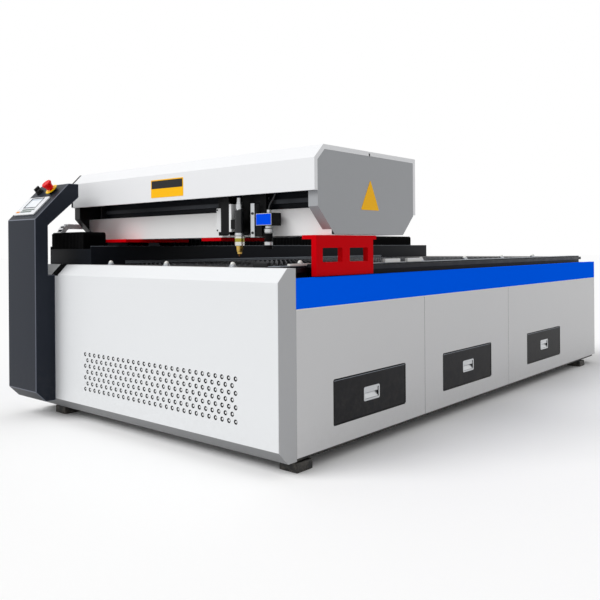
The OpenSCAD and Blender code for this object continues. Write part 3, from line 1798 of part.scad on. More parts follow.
base_long_rails();
base_frame_members();
levelling_feet();
front_cover();
front_cover_ends();
rear_cover();
right_panels();
left_panels();
stripe_panels();
drawer_runners();
left_rail_beam();
right_rail_beam();
guide_rails();
front_bellows();
rear_bellows();
chain_tray();
cable_chain();
screw_drive();
drive_screw();
bed_decks();
comb_bars();
support_slats();
ball_cups();
transfer_balls();
sheet_stops();
column_shell();
control_panel();
control_screen();
switch_collars();
estop_button();
switch_knob();
drawer_1();
drawer_2();
drawer_3();
drawer_1_pull();
drawer_2_pull();
drawer_3_pull();
gantry_beam();
base_plates();
right_leg();
bottom_cover();
right_end_cap();
left_end_cap();
front_lid();
rear_lid();
lid_hinge();
rail_plate();
cross_rails();
cross_drive();
cross_screw();
guide_blocks();
laser_source();
carriage_plate();
carriage_blocks();
head_drive();
camera_body();
camera_lens();
camera_cable();
head_body();
nozzle();
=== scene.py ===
# Looks of the gantry laser cutting machine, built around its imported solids.
# Lengths in the calls below are millimetres; the helpers turn them into metres.
import json
import math

import bpy
from mathutils import Matrix, Vector

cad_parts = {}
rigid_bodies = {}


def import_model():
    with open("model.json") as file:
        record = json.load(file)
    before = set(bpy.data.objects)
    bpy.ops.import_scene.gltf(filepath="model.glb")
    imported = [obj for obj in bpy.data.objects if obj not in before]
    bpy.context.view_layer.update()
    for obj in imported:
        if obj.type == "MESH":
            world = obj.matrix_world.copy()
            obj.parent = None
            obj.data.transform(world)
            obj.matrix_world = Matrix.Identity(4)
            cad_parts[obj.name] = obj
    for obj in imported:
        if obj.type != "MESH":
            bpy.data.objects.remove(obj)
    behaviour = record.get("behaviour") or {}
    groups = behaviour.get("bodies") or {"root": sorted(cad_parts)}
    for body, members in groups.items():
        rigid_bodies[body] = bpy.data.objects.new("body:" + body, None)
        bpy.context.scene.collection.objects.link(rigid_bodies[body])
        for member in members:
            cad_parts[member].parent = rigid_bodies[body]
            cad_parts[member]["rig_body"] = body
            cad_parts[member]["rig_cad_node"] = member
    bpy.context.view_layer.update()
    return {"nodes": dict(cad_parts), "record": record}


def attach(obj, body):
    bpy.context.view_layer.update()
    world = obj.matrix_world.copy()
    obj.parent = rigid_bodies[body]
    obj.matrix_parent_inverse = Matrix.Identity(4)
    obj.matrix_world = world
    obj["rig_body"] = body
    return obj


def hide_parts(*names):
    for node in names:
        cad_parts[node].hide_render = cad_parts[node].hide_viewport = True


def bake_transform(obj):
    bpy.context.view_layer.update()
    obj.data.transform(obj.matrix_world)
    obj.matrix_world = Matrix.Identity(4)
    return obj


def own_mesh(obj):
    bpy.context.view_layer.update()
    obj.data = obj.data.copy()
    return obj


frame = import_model()
nodes = frame["nodes"]
slot_of = {part["node"]: part["material_slot"] for part in frame["record"]["subparts"]}
MM = 0.001


# Colours and shader helpers

def srgb(red, green, blue):
    """A colour given as it looks on a screen, as linear values."""
    linear = []
    for value in (red, green, blue):
        share = value / 255
        linear.append(share / 12.92 if share <= 0.04045 else ((share + 0.055) / 1.055) ** 2.4)
    return (*linear, 1.0)


def add(tree, kind, **settings):
    """Adds a shader node and sets its named properties."""
    made = tree.nodes.new(kind)
    for key, value in settings.items():
        setattr(made, key, value)
    return made


def supply(tree, socket, value):
    """Sets a socket to a value, or wires another socket to it."""
    if isinstance(value, bpy.types.NodeSocket):
        tree.links.new(value, socket)
    else:
        socket.default_value = value


def feed(tree, sockets, **values):
    """Supplies sockets by their names, written with an underscore for each space."""
    for label, value in values.items():
        supply(tree, sockets[label.replace("_", " ")], value)


def calc(tree, operation, *operands):
    """A math node; each operand is a number or a socket."""
    made = add(tree, "ShaderNodeMath", operation=operation)
    for socket, operand in zip(made.inputs, operands):
        supply(tree, socket, operand)
    return made.outputs[0]


def swing(tree, value, reach, middle):
    """Turns a value between 0 and 1 into a swing about a middle."""
    return calc(tree, "MULTIPLY_ADD", calc(tree, "SUBTRACT", value, 0.5), reach, middle)


def vector_calc(tree, operation, first, second):
    made = add(tree, "ShaderNodeVectorMath", operation=operation)
    supply(tree, made.inputs[0], first)
    supply(tree, made.inputs[1], second)
    return made.outputs


def height_of(tree, vector):
    """The z of a vector."""
    parts = add(tree, "ShaderNodeSeparateXYZ")
    supply(tree, parts.inputs[0], vector)
    return parts.outputs[2]


def noise(tree, vector, scale, detail=2.0, roughness=0.5):
    made = add(tree, "ShaderNodeTexNoise")
    feed(tree, made.inputs, Vector=vector, Scale=scale, Detail=detail, Roughness=roughness)
    return made.outputs[0]


def ramp(tree, value, low, high):
    """A smooth step from 0 at low to 1 at high."""
    made = add(tree, "ShaderNodeMapRange", interpolation_type="SMOOTHSTEP")
    feed(tree, made.inputs, Value=value, From_Min=low, From_Max=high)
    return made.outputs["Result"]


def mixed(tree, share, first, second):
    """Blends two colours; each is a colour or a socket."""
    made = add(tree, "ShaderNodeMix", data_type="RGBA")
    for place, value in ((0, share), (6, first), (7, second)):
        supply(tree, made.inputs[place], value)
    return made.outputs[2]


def toned(tree, colour, brightness):
    """A colour made lighter or darker by a factor that changes over the surface."""
    tone = add(tree, "ShaderNodeHueSaturation")
    feed(tree, tone.inputs, Color=colour, Value=brightness)
    return tone.outputs[0]


def object_place(tree):
    return add(tree, "ShaderNodeTexCoord").outputs["Object"]


def new_group(name, inputs, outputs):
    tree = bpy.data.node_groups.new(name, "ShaderNodeTree")
    for label, kind, value in inputs:
        socket = tree.interface.new_socket(label, in_out="INPUT", socket_type=kind)
        socket.default_value = value
    for label, kind in outputs:
        tree.interface.new_socket(label, in_out="OUTPUT", socket_type=kind)
    return tree, add(tree, "NodeGroupInput").outputs, add(tree, "NodeGroupOutput").inputs


COLOUR, NUMBER, VECTOR = "NodeSocketColor", "NodeSocketFloat", "NodeSocketVector"


def new_skin(name, colour, roughness, *more):
    """A group that gives the colour, roughness and height of a skin."""
    inputs = [("Color", COLOUR, (*colour, 1)), ("Roughness", NUMBER, roughness), *more]
    return new_group(name, inputs, [("Color", COLOUR), ("Roughness", NUMBER), ("Height", NUMBER)])


def powder_coat_group():
    """Baked paint: a fine orange peel and a slight change of tone over a panel."""
    tree, given, out = new_skin("powder_coat", (0.8, 0.8, 0.8), 0.4, ("Mottle", NUMBER, 0.03))
    place = object_place(tree)
    peel = noise(tree, place, 240, 3)
    cloud = noise(tree, place, 1.7, 4, 0.6)
    mottle = swing(tree, cloud, calc(tree, "MULTIPLY", given["Mottle"], 2.0), 1.0)
    rough = swing(tree, peel, 0.16, given["Roughness"])
    feed(tree, out, Color=toned(tree, given["Color"], mottle), Roughness=rough, Height=peel)
    return tree


def drawn_metal_group():
    """Bare metal with a grain stretched along one axis."""
    tree, given, out = new_skin("drawn_metal", (0.6, 0.6, 0.6), 0.3, ("Stretch", VECTOR, (900, 20, 900)))
    place = object_place(tree)
    stretched = vector_calc(tree, "MULTIPLY", place, given["Stretch"])["Vector"]
    grain = noise(tree, stretched, 1.0, 4, 0.65)
    blotch = noise(tree, place, 14, 3)
    shade = swing(tree, grain, 0.5, 1.0)
    rough = swing(tree, blotch, 0.25, given["Roughness"])
    feed(tree, out, Color=toned(tree, given["Color"], shade), Roughness=rough, Height=grain)
    return tree


def moulded_group():
    """Moulded plastic or rubber with a fine spark-eroded grain."""
    tree, given, out = new_skin("moulded_skin", (0.1, 0.1, 0.1), 0.5, ("Grain", NUMBER, 900.0))
    place = object_place(tree)
    cells = add(tree, "ShaderNodeTexVoronoi", feature="SMOOTH_F1")
    feed(tree, cells.inputs, Vector=place, Scale=given["Grain"])
    haze = noise(tree, place, 22, 3)
    shade = swing(tree, haze, 0.16, 1.0)
    rough = swing(tree, haze, 0.2, given["Roughness"])
    grain = cells.outputs["Distance"]
    feed(tree, out, Color=toned(tree, given["Color"], shade), Roughness=rough, Height=grain)
    return tree


def dust_group():
    """Workshop dust: on faces that look up, and near the floor."""
    tree, given, out = new_group(
        "workshop_dust",
        [
            ("Color", COLOUR, (0.5, 0.5, 0.5, 1)), ("Roughness", NUMBER, 0.4),
            ("Dust", COLOUR, srgb(150, 143, 132)), ("Amount", NUMBER, 0.3), ("Low Reach", NUMBER, 0.35),
        ],
        [("Color", COLOUR), ("Roughness", NUMBER)],
    )
    place = object_place(tree)
    facing = height_of(tree, add(tree, "ShaderNodeNewGeometry").outputs["Normal"])
    speck = ramp(tree, noise(tree, place, 30, 6, 0.7), 0.35, 0.75)
    low = calc(tree, "SUBTRACT", 1.0, calc(tree, "DIVIDE", height_of(tree, place), given["Low Reach"]))
    low = calc(tree, "MAXIMUM", low, 0.0)
    up = calc(tree, "MULTIPLY", ramp(tree, facing, 0.6, 0.95), 0.5)
    where = calc(tree, "MULTIPLY", calc(tree, "MAXIMUM", low, up), speck)
    share = calc(tree, "MULTIPLY", where, given["Amount"])
    rough = calc(tree, "MULTIPLY_ADD", share, 0.35, given["Roughness"])
    feed(tree, out, Color=mixed(tree, share, given["Color"], given["Dust"]), Roughness=rough)
    return tree


def height_band_group():
    """A mask that is 1 between two heights in metres along one axis of the piece, with soft ends."""
    tree, given, out = new_group(
        "height_band",
        [
            ("Along", VECTOR, (0, 0, 1)), ("From", NUMBER, 0.0), ("To", NUMBER, 1.0),
            ("Soft", NUMBER, 0.0005),
        ],
        [("Mask", NUMBER)],
    )
    height = vector_calc(tree, "DOT_PRODUCT", object_place(tree), given["Along"])["Value"]
    rise = calc(tree, "DIVIDE", calc(tree, "SUBTRACT", height, given["From"]), given["Soft"])
    fall = calc(tree, "DIVIDE", calc(tree, "SUBTRACT", given["To"], height), given["Soft"])
    inside = calc(tree, "MINIMUM", calc(tree, "MINIMUM", rise, fall), 1.0)
    feed(tree, out, Mask=calc(tree, "MAXIMUM", inside, 0.0))
    return tree


POWDER = powder_coat_group()
DRAWN = drawn_metal_group()
MOULDED = moulded_group()
DUST = dust_group()
BAND = height_band_group()


def use(tree, group, **values):
    """Places a group in a material with its own values."""
    made = add(tree, "ShaderNodeGroup", node_tree=group)
    feed(tree, made.inputs, **values)
    return made.outputs


def bare_material(name):
    material = bpy.data.materials.new(name)
    material.use_nodes = True
    tree = material.node_tree
    return material, tree, tree.nodes["Principled BSDF"].inputs


def raised(tree, shader, height, strength, depth):
    """Turns a height into a bump on the shader; depth in millimetres."""
    bump = add(tree, "ShaderNodeBump")
    feed(tree, bump.inputs, Strength=strength, Distance=depth * MM, Height=height)
    feed(tree, shader, Normal=bump.outputs[0])


def skinned(name, group, skin, shine, bump, depth, dust=0.0, reach=0.35):
    """A material with one of the skins above and, where asked, dust over it."""
    material, tree, shader = bare_material(name)
    under = use(tree, group, **skin)
    top = under
    if dust:
        clean = {"Color": under["Color"], "Roughness": under["Roughness"]}
        top = use(tree, DUST, Amount=dust, Low_Reach=reach, **clean)
    feed(tree, shader, Base_Color=top["Color"], Roughness=top["Roughness"], **shine)
    raised(tree, shader, under["Height"], bump, depth)
    return material


def painted(name, colour, roughness=0.42, mottle=0.03, dust=0.0, reach=0.35, sheen=0.4, peel=0.06):
    skin = {"Color": colour, "Roughness": roughness, "Mottle": mottle}
    return skinned(name, POWDER, skin, {"Specular_IOR_Level": sheen}, peel, 0.4, dust, reach)


def metal(name, colour, roughness, stretch):
    skin = {"Color": colour, "Roughness": roughness, "Stretch": stretch}
    return skinned(name, DRAWN, skin, {"Metallic": 1.0}, 0.05, 0.2)


def moulded(name, colour, roughness=0.45, grain=900.0, coat=0.0, dust=0.0, sheen=0.45, bump=0.12):
    skin = {"Color": colour, "Roughness": roughness, "Grain": grain}
    shine = {"Specular_IOR_Level": sheen, "Coat_Weight": coat, "Coat_Roughness": 0.08}
    return skinned(name, MOULDED, skin, shine, bump, 0.15, dust)


def bellows_cloth(name):
    """Black coated cloth: a fine weave and a little dust."""
    material, tree, shader = bare_material(name)
    place = object_place(tree)
    threads = []
    for direction in ("X", "Z"):
        wave = add(tree, "ShaderNodeTexWave", wave_type="BANDS", bands_direction=direction)
        feed(tree, wave.inputs, Vector=place, Scale=260, Distortion=0.6)
        threads.append(wave.outputs[0])
    skin = use(tree, MOULDED, Color=srgb(5, 5, 6), Roughness=0.7, Grain=500.0)
    dusty = use(tree, DUST, Color=skin["Color"], Roughness=skin["Roughness"], Amount=0.03, Low_Reach=0.1)
    feed(tree, shader, Base_Color=dusty["Color"], Roughness=dusty["Roughness"], Specular_IOR_Level=0.08)
    raised(tree, shader, calc(tree, "MULTIPLY", *threads), 0.25, 0.3)
    return material


def burnt_steel(name):
    """Dark hot-rolled slats: scale, a little rust, and bright cut marks near the tips."""
    material, tree, shader = bare_material(name)
    place = object_place(tree)
    skin = use(tree, DRAWN, Color=srgb(74, 76, 80), Roughness=0.5, Stretch=(30, 500, 500))
    rust = ramp(tree, noise(tree, place, 9, 6, 0.7), 0.52, 0.72)
    tips = use(tree, BAND, Along=(0, 0, 1), From=0.943, To=0.975, Soft=0.012)
    spatter = calc(tree, "MULTIPLY", tips["Mask"], ramp(tree, noise(tree, place, 70, 5, 0.8), 0.45, 0.65))
    colour = mixed(tree, calc(tree, "MULTIPLY", rust, 0.35), skin["Color"], srgb(84, 58, 42))
    colour = mixed(tree, calc(tree, "MULTIPLY", spatter, 0.6), colour, srgb(150, 150, 152))
    rough = calc(tree, "MULTIPLY_ADD", rust, 0.25, skin["Roughness"])
    feed(tree, shader, Base_Color=colour, Roughness=rough, Metallic=0.7)
    raised(tree, shader, noise(tree, place, 180, 4), 0.2, 0.5)
    return material


def nozzle_metal(name):
    """Brass body with a bright part, a gilded band on it and a copper tip."""
    material, tree, shader = bare_material(name)
    skin = use(tree, DRAWN, Color=srgb(214, 178, 96), Roughness=0.24, Stretch=(60, 60, 1400))
    colour = skin["Color"]
    for low, high, tint in (
        (1.063, 1.118, srgb(214, 214, 208)),
        (1.084, 1.104, srgb(160, 150, 62)),
        (1.0, 1.019, srgb(206, 138, 88)),
    ):
        band = use(tree, BAND, Along=(0, 0, 1), From=low, To=high)
        colour = mixed(tree, band["Mask"], colour, tint)
    feed(tree, shader, Base_Color=colour, Roughness=skin["Roughness"], Metallic=1.0)
    raised(tree, shader, skin["Height"], 0.05, 0.2)
    return material


def screen_face(name):
    """Lit display behind a clear pane, with soft pale fields."""
    material, tree, shader = bare_material(name)
    cloud = noise(tree, object_place(tree), 9, 2)
    left = use(tree, BAND, Along=(1, 0, 0), From=-1.013, To=-0.992, Soft=0.0006)
    head = use(tree, BAND, Along=(0, 0, 1), From=1.364, To=1.390, Soft=0.0008)
    colour = mixed(tree, ramp(tree, cloud, 0.3, 0.7), srgb(226, 232, 238), srgb(240, 243, 245))
    colour = mixed(tree, calc(tree, "MULTIPLY", left["Mask"], 0.6), colour, srgb(196, 208, 220))
    colour = mixed(tree, calc(tree, "MULTIPLY", head["Mask"], 0.7), colour, srgb(172, 188, 206))
    rough = calc(tree, "MULTIPLY_ADD", cloud, 0.08, 0.1)
    feed(tree, shader, Base_Color=colour, Roughness=rough, Coat_Weight=0.6, Coat_Roughness=0.03)
    return material


# One finish for each material slot of the part

FINISH = {}


def finish(slot, maker, *values, **more):
    FINISH[slot] = maker(slot, *values, **more)


finish("frame_paint", painted, srgb(20, 21, 24), 0.45, 0.08, dust=0.3, reach=0.25, sheen=0.2)
finish("cover_white", painted, srgb(228, 230, 232), 0.4, 0.012, dust=0.10, reach=0.30, peel=0.05)
finish("panel_grey", painted, srgb(213, 213, 214), 0.4, 0.02, dust=0.10, reach=0.30, peel=0.05)
finish("band_blue", painted, srgb(0, 98, 255), 0.4, 0.02, sheen=0.0)
finish("beam_black", painted, srgb(13, 17, 24), 0.42, 0.08, dust=0.04, reach=0.1, sheen=0.1)
finish("bright_steel", metal, srgb(188, 191, 196), 0.26, (900, 12, 900))
finish("bellows_cloth", bellows_cloth)
finish("chain_grey", moulded, srgb(232, 233, 235), 0.35, 700.0)
finish("slat_steel", burnt_steel)
finish("ball_white", moulded, srgb(235, 235, 230), 0.25, 1200.0, coat=0.3, bump=0.02)
finish("stop_white", moulded, srgb(230, 230, 226), 0.45, 800.0)
finish("column_dark", painted, srgb(31, 36, 46), 0.42, 0.05, dust=0.06, reach=0.4, sheen=0.14, peel=0.08)
finish("panel_plastic", moulded, srgb(226, 228, 231), 0.42, 1500.0, bump=0.05)
finish("screen_glass", screen_face)
finish("collar_yellow", moulded, srgb(255, 212, 0), 0.35, 1300.0, sheen=0.2, bump=0.04)
finish("stop_red", moulded, srgb(226, 0, 18), 0.32, 1300.0, sheen=0.2, bump=0.03)
finish("knob_black", moulded, srgb(10, 10, 12), 0.36, 1300.0, sheen=0.3, bump=0.05)
finish("drawer_black", painted, srgb(17, 17, 21), 0.45, 0.06, dust=0.08, reach=0.5, sheen=0.15, peel=0.12)
finish("pull_steel", metal, srgb(196, 198, 200), 0.32, (400, 18, 900))
finish("lid_white", painted, srgb(233, 234, 236), 0.38, 0.012, peel=0.05)
finish("leg_red", painted, srgb(206, 0, 12), 0.42, 0.05, sheen=0.02)
finish("cap_grey", painted, srgb(160, 162, 165), 0.45, 0.03, peel=0.08)
finish("motor_dark", painted, srgb(24, 25, 28), 0.4, 0.08, sheen=0.25)
finish("camera_blue", painted, srgb(0, 78, 238), 0.4, 0.03, sheen=0.02)
finish("lens_black", moulded, srgb(10, 10, 12), 0.4, 1500.0, sheen=0.05, bump=0.04)
finish("head_dark", metal, srgb(62, 64, 68), 0.32, (900, 900, 14))
finish("nozzle_brass", nozzle_metal)
finish("cable_grey", moulded, srgb(48, 49, 52), 0.45, 900.0, bump=0.06)
finish("foot_rubber", moulded, srgb(18, 18, 19), 0.6, 500.0, dust=0.3)

# Finishes of trim, plates and fasteners

PLATE_WHITE = painted("plate_white", srgb(234, 235, 236), 0.4, 0.02)
KEY_GREY = moulded("key_grey", srgb(120, 132, 128), 0.45, 1500.0, bump=0.05)
KEY_ORANGE = moulded("key_orange", srgb(240, 150, 40), 0.4, 1500.0, bump=0.05)
FRAME_LINE = moulded("screen_frame", srgb(56, 60, 70), 0.4, 1500.0, bump=0.05)
# Black zinc for screws and bolts, and dark inside the drawer pulls as painted shade.
BLACK_ZINC_AND_SHADE = metal("black_zinc_and_recess_shade", srgb(52, 52, 54), 0.35, (700, 700, 700))
DARK_STEEL = metal("oiled_steel", srgb(58, 60, 64), 0.4, (12, 900, 900))
# Dark grey for the faces inside the chain links: painted shade.
CHAIN_INSIDE_SHADE = moulded("chain_inside_painted_shade", srgb(28, 29, 31), 0.5, 700.0, sheen=0.1)
RAIL_BLACK = metal("blackened_rail", srgb(30, 32, 36), 0.4, (900, 12, 900))
PLATE_YELLOW = painted("plate_yellow", srgb(255, 190, 0), 0.4, 0.02, sheen=0.15)
# Whiter than the cover paint, for the gantry beam under the lid: painted light.
BEAM_WHITE_PAINTED_LIGHT = painted("beam_white_painted_light", srgb(250, 250, 250), 0.4, 0.012, sheen=0.3)
# Pale grey on the top edges of the rail beams and drawers: a painted highlight.
EDGE_HIGHLIGHT = painted("painted_edge_highlight", srgb(116, 122, 130), 0.45, 0.08)
# Paler tone for the rounded edges of the column: a painted highlight.
COLUMN_EDGE_HIGHLIGHT = painted("column_edge_highlight", srgb(98, 103, 116), 0.42, 0.05)
END_GREY = painted("end_grey", srgb(180, 181, 183), 0.4, 0.02, dust=0.1, reach=0.3, peel=0.05)
# Mid grey for the downward faces of the front cover's lower fold: painted shade on the white sheet, with
# dust.
FLANGE_PAINTED_SHADE = painted("flange_painted_shade", srgb(134, 135, 137), 0.42, 0.02, dust=0.1, reach=0.1)
PLATE_BLACK = painted("plate_black", srgb(16, 16, 18), 0.4, 0.04, sheen=0.25)
CASE_BLACK = painted("case_black", srgb(8, 8, 10), 0.4, 0.06, sheen=0.12)
TUBE_BLACK = painted("tube_black", srgb(24, 25, 28), 0.22, 0.04, sheen=0.45, peel=0.02)
STRAP_BLACK = moulded("strap_rubber", srgb(4, 4, 5), 0.8, 600.0, sheen=0.04)


# Modelling helpers

SHARP_ANGLE, SMOOTH_ANGLE = 30, 40
LONG_FOLD = 400
FORWARD = (math.radians(90), 0, 0)


def only(obj):
    """Leaves one object selected and active."""
    bpy.ops.object.select_all(action="DESELECT")
    obj.select_set(True)
    bpy.context.view_layer.objects.active = obj


def choose(obj, kind, test):
    """Selects the faces (by centre and normal) or edges (by their ends) that pass a test."""
    only(obj)
    bpy.ops.object.mode_set(mode="EDIT")
    bpy.ops.mesh.select_mode(type=kind)
    bpy.ops.mesh.select_all(action="DESELECT")
    bpy.ops.object.mode_set(mode="OBJECT")
    mesh = obj.data
    if kind == "FACE":
        for face in mesh.polygons:
            face.select = bool(test(face.center / MM, face.normal))
    else:
        for edge in mesh.edges:
            ends = [mesh.vertices[i].co / MM for i in edge.vertices]
            edge.select = bool(test(ends[0], ends[1]))
    bpy.ops.object.mode_set(mode="EDIT")


def choose_all():
    bpy.ops.object.mode_set(mode="EDIT")
    bpy.ops.mesh.select_all(action="SELECT")


def close_edit():
    if bpy.context.mode != "OBJECT":
        bpy.ops.object.mode_set(mode="OBJECT")


def fix_place():
    """Puts the place, turn and scale of what is selected into its mesh."""
    bpy.ops.object.transform_apply(location=True, rotation=True, scale=True)


def draw_out(shift):
    """Extrudes what is selected in edit mode."""
    bpy.ops.mesh.extrude_region_move(TRANSFORM_OT_translate={"value": Vector(shift) * MM})


def seal():
    """Turns the faces of a piece in edit mode outwards, and leaves edit mode."""
    bpy.ops.mesh.select_all(action="SELECT")
    bpy.ops.mesh.normals_make_consistent(inside=False)
    close_edit()


def begun(name, add_primitive, **settings):
    """Adds a primitive, with nothing else selected, as the start of a piece."""
    close_edit()
    bpy.ops.object.select_all(action="DESELECT")
    add_primitive(**settings)
    obj = bpy.context.active_object
    obj.name = name
    return obj


def block(name, low, high):
    """A box between two corners."""
    low, high = Vector(low) * MM, Vector(high) * MM
    obj = begun(name, bpy.ops.mesh.primitive_cube_add, size=1, location=(low + high) / 2)
    obj.scale = high - low
    fix_place()
    return obj


def ring(name, points, fill):
    """A ring through points in space, filled or open."""
    obj = begun(name, bpy.ops.mesh.primitive_circle_add, vertices=len(points), radius=1, fill_type=fill)
    for vertex, point in zip(obj.data.vertices, points):
        vertex.co = Vector(point) * MM
    return obj


def outline(name, points, push):
    """A flat outline, given as its corners in space, drawn out by a vector into a solid."""
    obj = ring(name, points, "NGON")
    choose_all()
    draw_out(push)
    seal()
    return obj


def turned(name, rings, place, tilt=(0, 0, 0), sides=48):
    """A turned piece: rings of (radius, height) from one end to the other along its own axis."""
    radius, height = rings[0]
    obj = begun(
        name, bpy.ops.mesh.primitive_circle_add,
        vertices=sides, radius=radius * MM, fill_type="NGON", location=(0, 0, height * MM),
    )
    fix_place()
    choose_all()
    for next_radius, next_height in rings[1:]:
        draw_out((0, 0, next_height - height))
        scale = next_radius / radius
        bpy.ops.transform.resize(value=(scale, scale, 1), center_override=(0, 0, next_height * MM))
        radius, height = next_radius, next_height
    seal()
    obj.rotation_euler = tilt
    obj.location = Vector(place) * MM
    fix_place()
    return obj


def joined(objs):
    close_edit()
    only(objs[0])
    for other in objs[1:]:
        other.select_set(True)
    fix_place()
    bpy.ops.object.join()
    return bpy.context.active_object


def copies(obj, shifts):
    """Copies of a piece, each with its own mesh, joined with it into one object."""
    made = [obj]
    for shift in shifts:
        only(obj)
        bpy.ops.object.duplicate(linked=False)
        copy = bpy.context.active_object
        copy.location = Vector(shift) * MM
        made.append(copy)
    return joined(made)


def modified(obj, kind, **settings):
    """Adds a modifier with its settings and applies it."""
    close_edit()
    only(obj)
    made = obj.modifiers.new(kind.lower(), kind)
    for key, value in settings.items():
        setattr(made, key, value)
    bpy.ops.object.modifier_apply(modifier=made.name)
    return obj


def repeated(obj, shift, count):
    """A row of copies of a piece, made with an array."""
    return modified(
        obj, "ARRAY", count=count, use_relative_offset=False, use_constant_offset=True,
        constant_offset_displace=Vector(shift) * MM,
    )


def rounded(obj, width, segments=2):
    """Rounds every sharp edge, and keeps the flats flat."""
    return modified(
        obj, "BEVEL", width=width * MM, segments=segments, limit_method="ANGLE",
        angle_limit=math.radians(SHARP_ANGLE), use_clamp_overlap=True,
    )


def round_corners(obj, axis, radius, segments):
    """Rounds the edges of a plate that run along one axis, through its thickness."""
    choose(obj, "EDGE", lambda a, b: abs(a[axis] - b[axis]) > 1)
    bpy.ops.mesh.bevel(offset=radius * MM, segments=segments, affect="EDGES")
    close_edit()


def paint(obj, *finishes):
    obj.data.materials.clear()
    for finish_or_slot in finishes:
        material = FINISH[finish_or_slot] if isinstance(finish_or_slot, str) else finish_or_slot
        obj.data.materials.append(material)
    return obj


def paint_where(obj, place, test):
    """Gives the faces that pass a test the material in another place of the list."""
    for face in obj.data.polygons:
        if test(face.center / MM, face.normal):
            face.material_index = place


def smooth(obj, angle=SMOOTH_ANGLE):
    close_edit()
    only(obj)
    bpy.ops.object.shade_smooth_by_angle(angle=math.radians(angle))
    modified(obj, "WEIGHTED_NORMAL", keep_sharp=True, weight=80)


def settle(obj, body, slot, *finishes, stands_for=()):
    """Smooths, paints and seats a finished piece on its body."""
    smooth(obj)
    if finishes:
        paint(obj, *finishes)
    elif not obj.data.materials:
        paint(obj, slot)
    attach(obj, body)
    if stands_for:
        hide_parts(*stands_for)
    return obj


def blended(obj, angle=SMOOTH_ANGLE, stands_for=()):
    """Smooths a painted piece, hides the CAD nodes it stands for, and puts its place into its mesh."""
    smooth(obj, angle)
    if stands_for:
        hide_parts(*stands_for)
    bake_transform(obj)


def solid_copy(node):
    """A merged copy of a CAD node, free to be worked on."""
    close_edit()
    only(nodes[node])
    bpy.ops.object.duplicate(linked=False)
    obj = bpy.context.active_object
    obj.parent = None
    obj.name = node + "_soft"
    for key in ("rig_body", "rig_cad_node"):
        if key in obj:
            del obj[key]
    choose_all()
    bpy.ops.mesh.remove_doubles(threshold=0.00002)
    bpy.ops.mesh.dissolve_limited(angle_limit=math.radians(0.5))
    close_edit()
    return obj


def in_place_of(node, obj):
    """Settles a worked copy in the place of its CAD node."""
    return settle(obj, nodes[node]["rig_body"], slot_of[node], slot_of[node], stands_for=(node,))


def soften(node, width, segments=2):
    """Puts a copy with rounded edges in the place of a CAD node."""
    return in_place_of(node, rounded(solid_copy(node), width, segments))


def soften_folds(node, width):
    """As soften, but only along the long folds, so that rows of holes stay as they are."""
    obj = solid_copy(node)
    choose(obj, "EDGE", lambda a, b: (a - b).length > LONG_FOLD)
    bpy.ops.mesh.bevel(offset=width * MM, segments=3, affect="EDGES", clamp_overlap=True)
    close_edit()
    return in_place_of(node, obj)


def dress(obj, finishes, *marks):
    """Paints a piece in its first finish, and the faces that each mark's test picks in another."""
    paint(obj, *finishes)
    for place, test in marks:
        paint_where(obj, place, test)
    return obj


# Every CAD node first gets its finish

for node_name, node_object in nodes.items():
    paint(node_object, slot_of[node_name])
for oiled in ("cross_rails", "cross_screw", "guide_blocks"):
    paint(nodes[oiled], DARK_STEEL)
paint(nodes["guide_rails"], RAIL_BLACK)

# Folded sheets, tubes and plates with rounded edges

for folded, fold_width in (("front_lid", 1.0), ("rear_lid", 0.9)):
    soften_folds(folded, fold_width)
for sheet, edge_width, edge_steps in (
    ("stripe_panels", 0.8, 2), ("right_end_cap", 1.0, 2), ("bottom_cover", 0.8, 2),
    ("right_leg", 2.5, 3), ("base_plates", 2.5, 3), ("rail_plate", 1.2, 2),
    ("base_long_rails", 5.0, 3), ("levelling_feet", 2.0, 2), ("control_panel", 2.0, 2),
):
    soften(sheet, edge_width, edge_steps)


# Pieces that carry more than one finish

LEFT_LIP_TOP, RIGHT_BEAM_TOP = 1069, 962
FRONT_ROW_Y = -1900
LOWER_FOLD_TOP = 130
SIDE_FACE = 1120
CORNER_GROWTH = math.tan(math.radians(22.5))  # of a 45 degree fold, for each millimetre of thickness


def dress_plain_parts():
    """Rail beams with painted highlights on top, a gantry beam in painted light, one dark stop, painted shade
    on the cap, a black carriage.
    """
    # The upper faces of the left beam's lips take the pale grey: a painted highlight.
    dress(soften("left_rail_beam", 2), ("beam_black", EDGE_HIGHLIGHT),
          (1, lambda centre, normal: centre.z > LEFT_LIP_TOP - 2 and normal.z > 0.3))
    # The rounded top edge of the right beam takes the pale grey: a painted highlight.
    dress(soften("right_rail_beam", 4, 3), ("beam_black", EDGE_HIGHLIGHT),
          (1, lambda centre, normal: centre.z > RIGHT_BEAM_TOP - 5 and normal.z > 0.25))
    # The gantry beam takes a whiter paint than the cover: painted light under the lid.
    dress(soften("gantry_beam", 4, 3), (BEAM_WHITE_PAINTED_LIGHT,))
    dress(soften("sheet_stops", 2.5, 3), ("stop_white", "frame_paint"),
          (1, lambda centre, normal: centre.y < FRONT_ROW_Y))
    # The cap's inner side and front flange take the dark motor paint: painted shade under the lid.
    dress(soften("left_end_cap", 1), ("cap_grey", "motor_dark"),
          (1, lambda centre, normal: normal.x > 0.5 or normal.y < -0.4))
    dress(soften("carriage_plate", 1.2), (CASE_BLACK,))


def dress_column():
    """The dark column with paler edges: a painted highlight along its rounded edges."""
    flats = [Vector(way).normalized() for way in ((1, 0, 0), (0, 1, 0), (0, 0, 1), (0, 1, 1), (0, 1, -1))]
    dress(soften("column_shell", 4, 3), ("column_dark", COLUMN_EDGE_HIGHLIGHT),
          (1, lambda centre, normal: max(abs(normal.dot(flat)) for flat in flats) < 0.995))


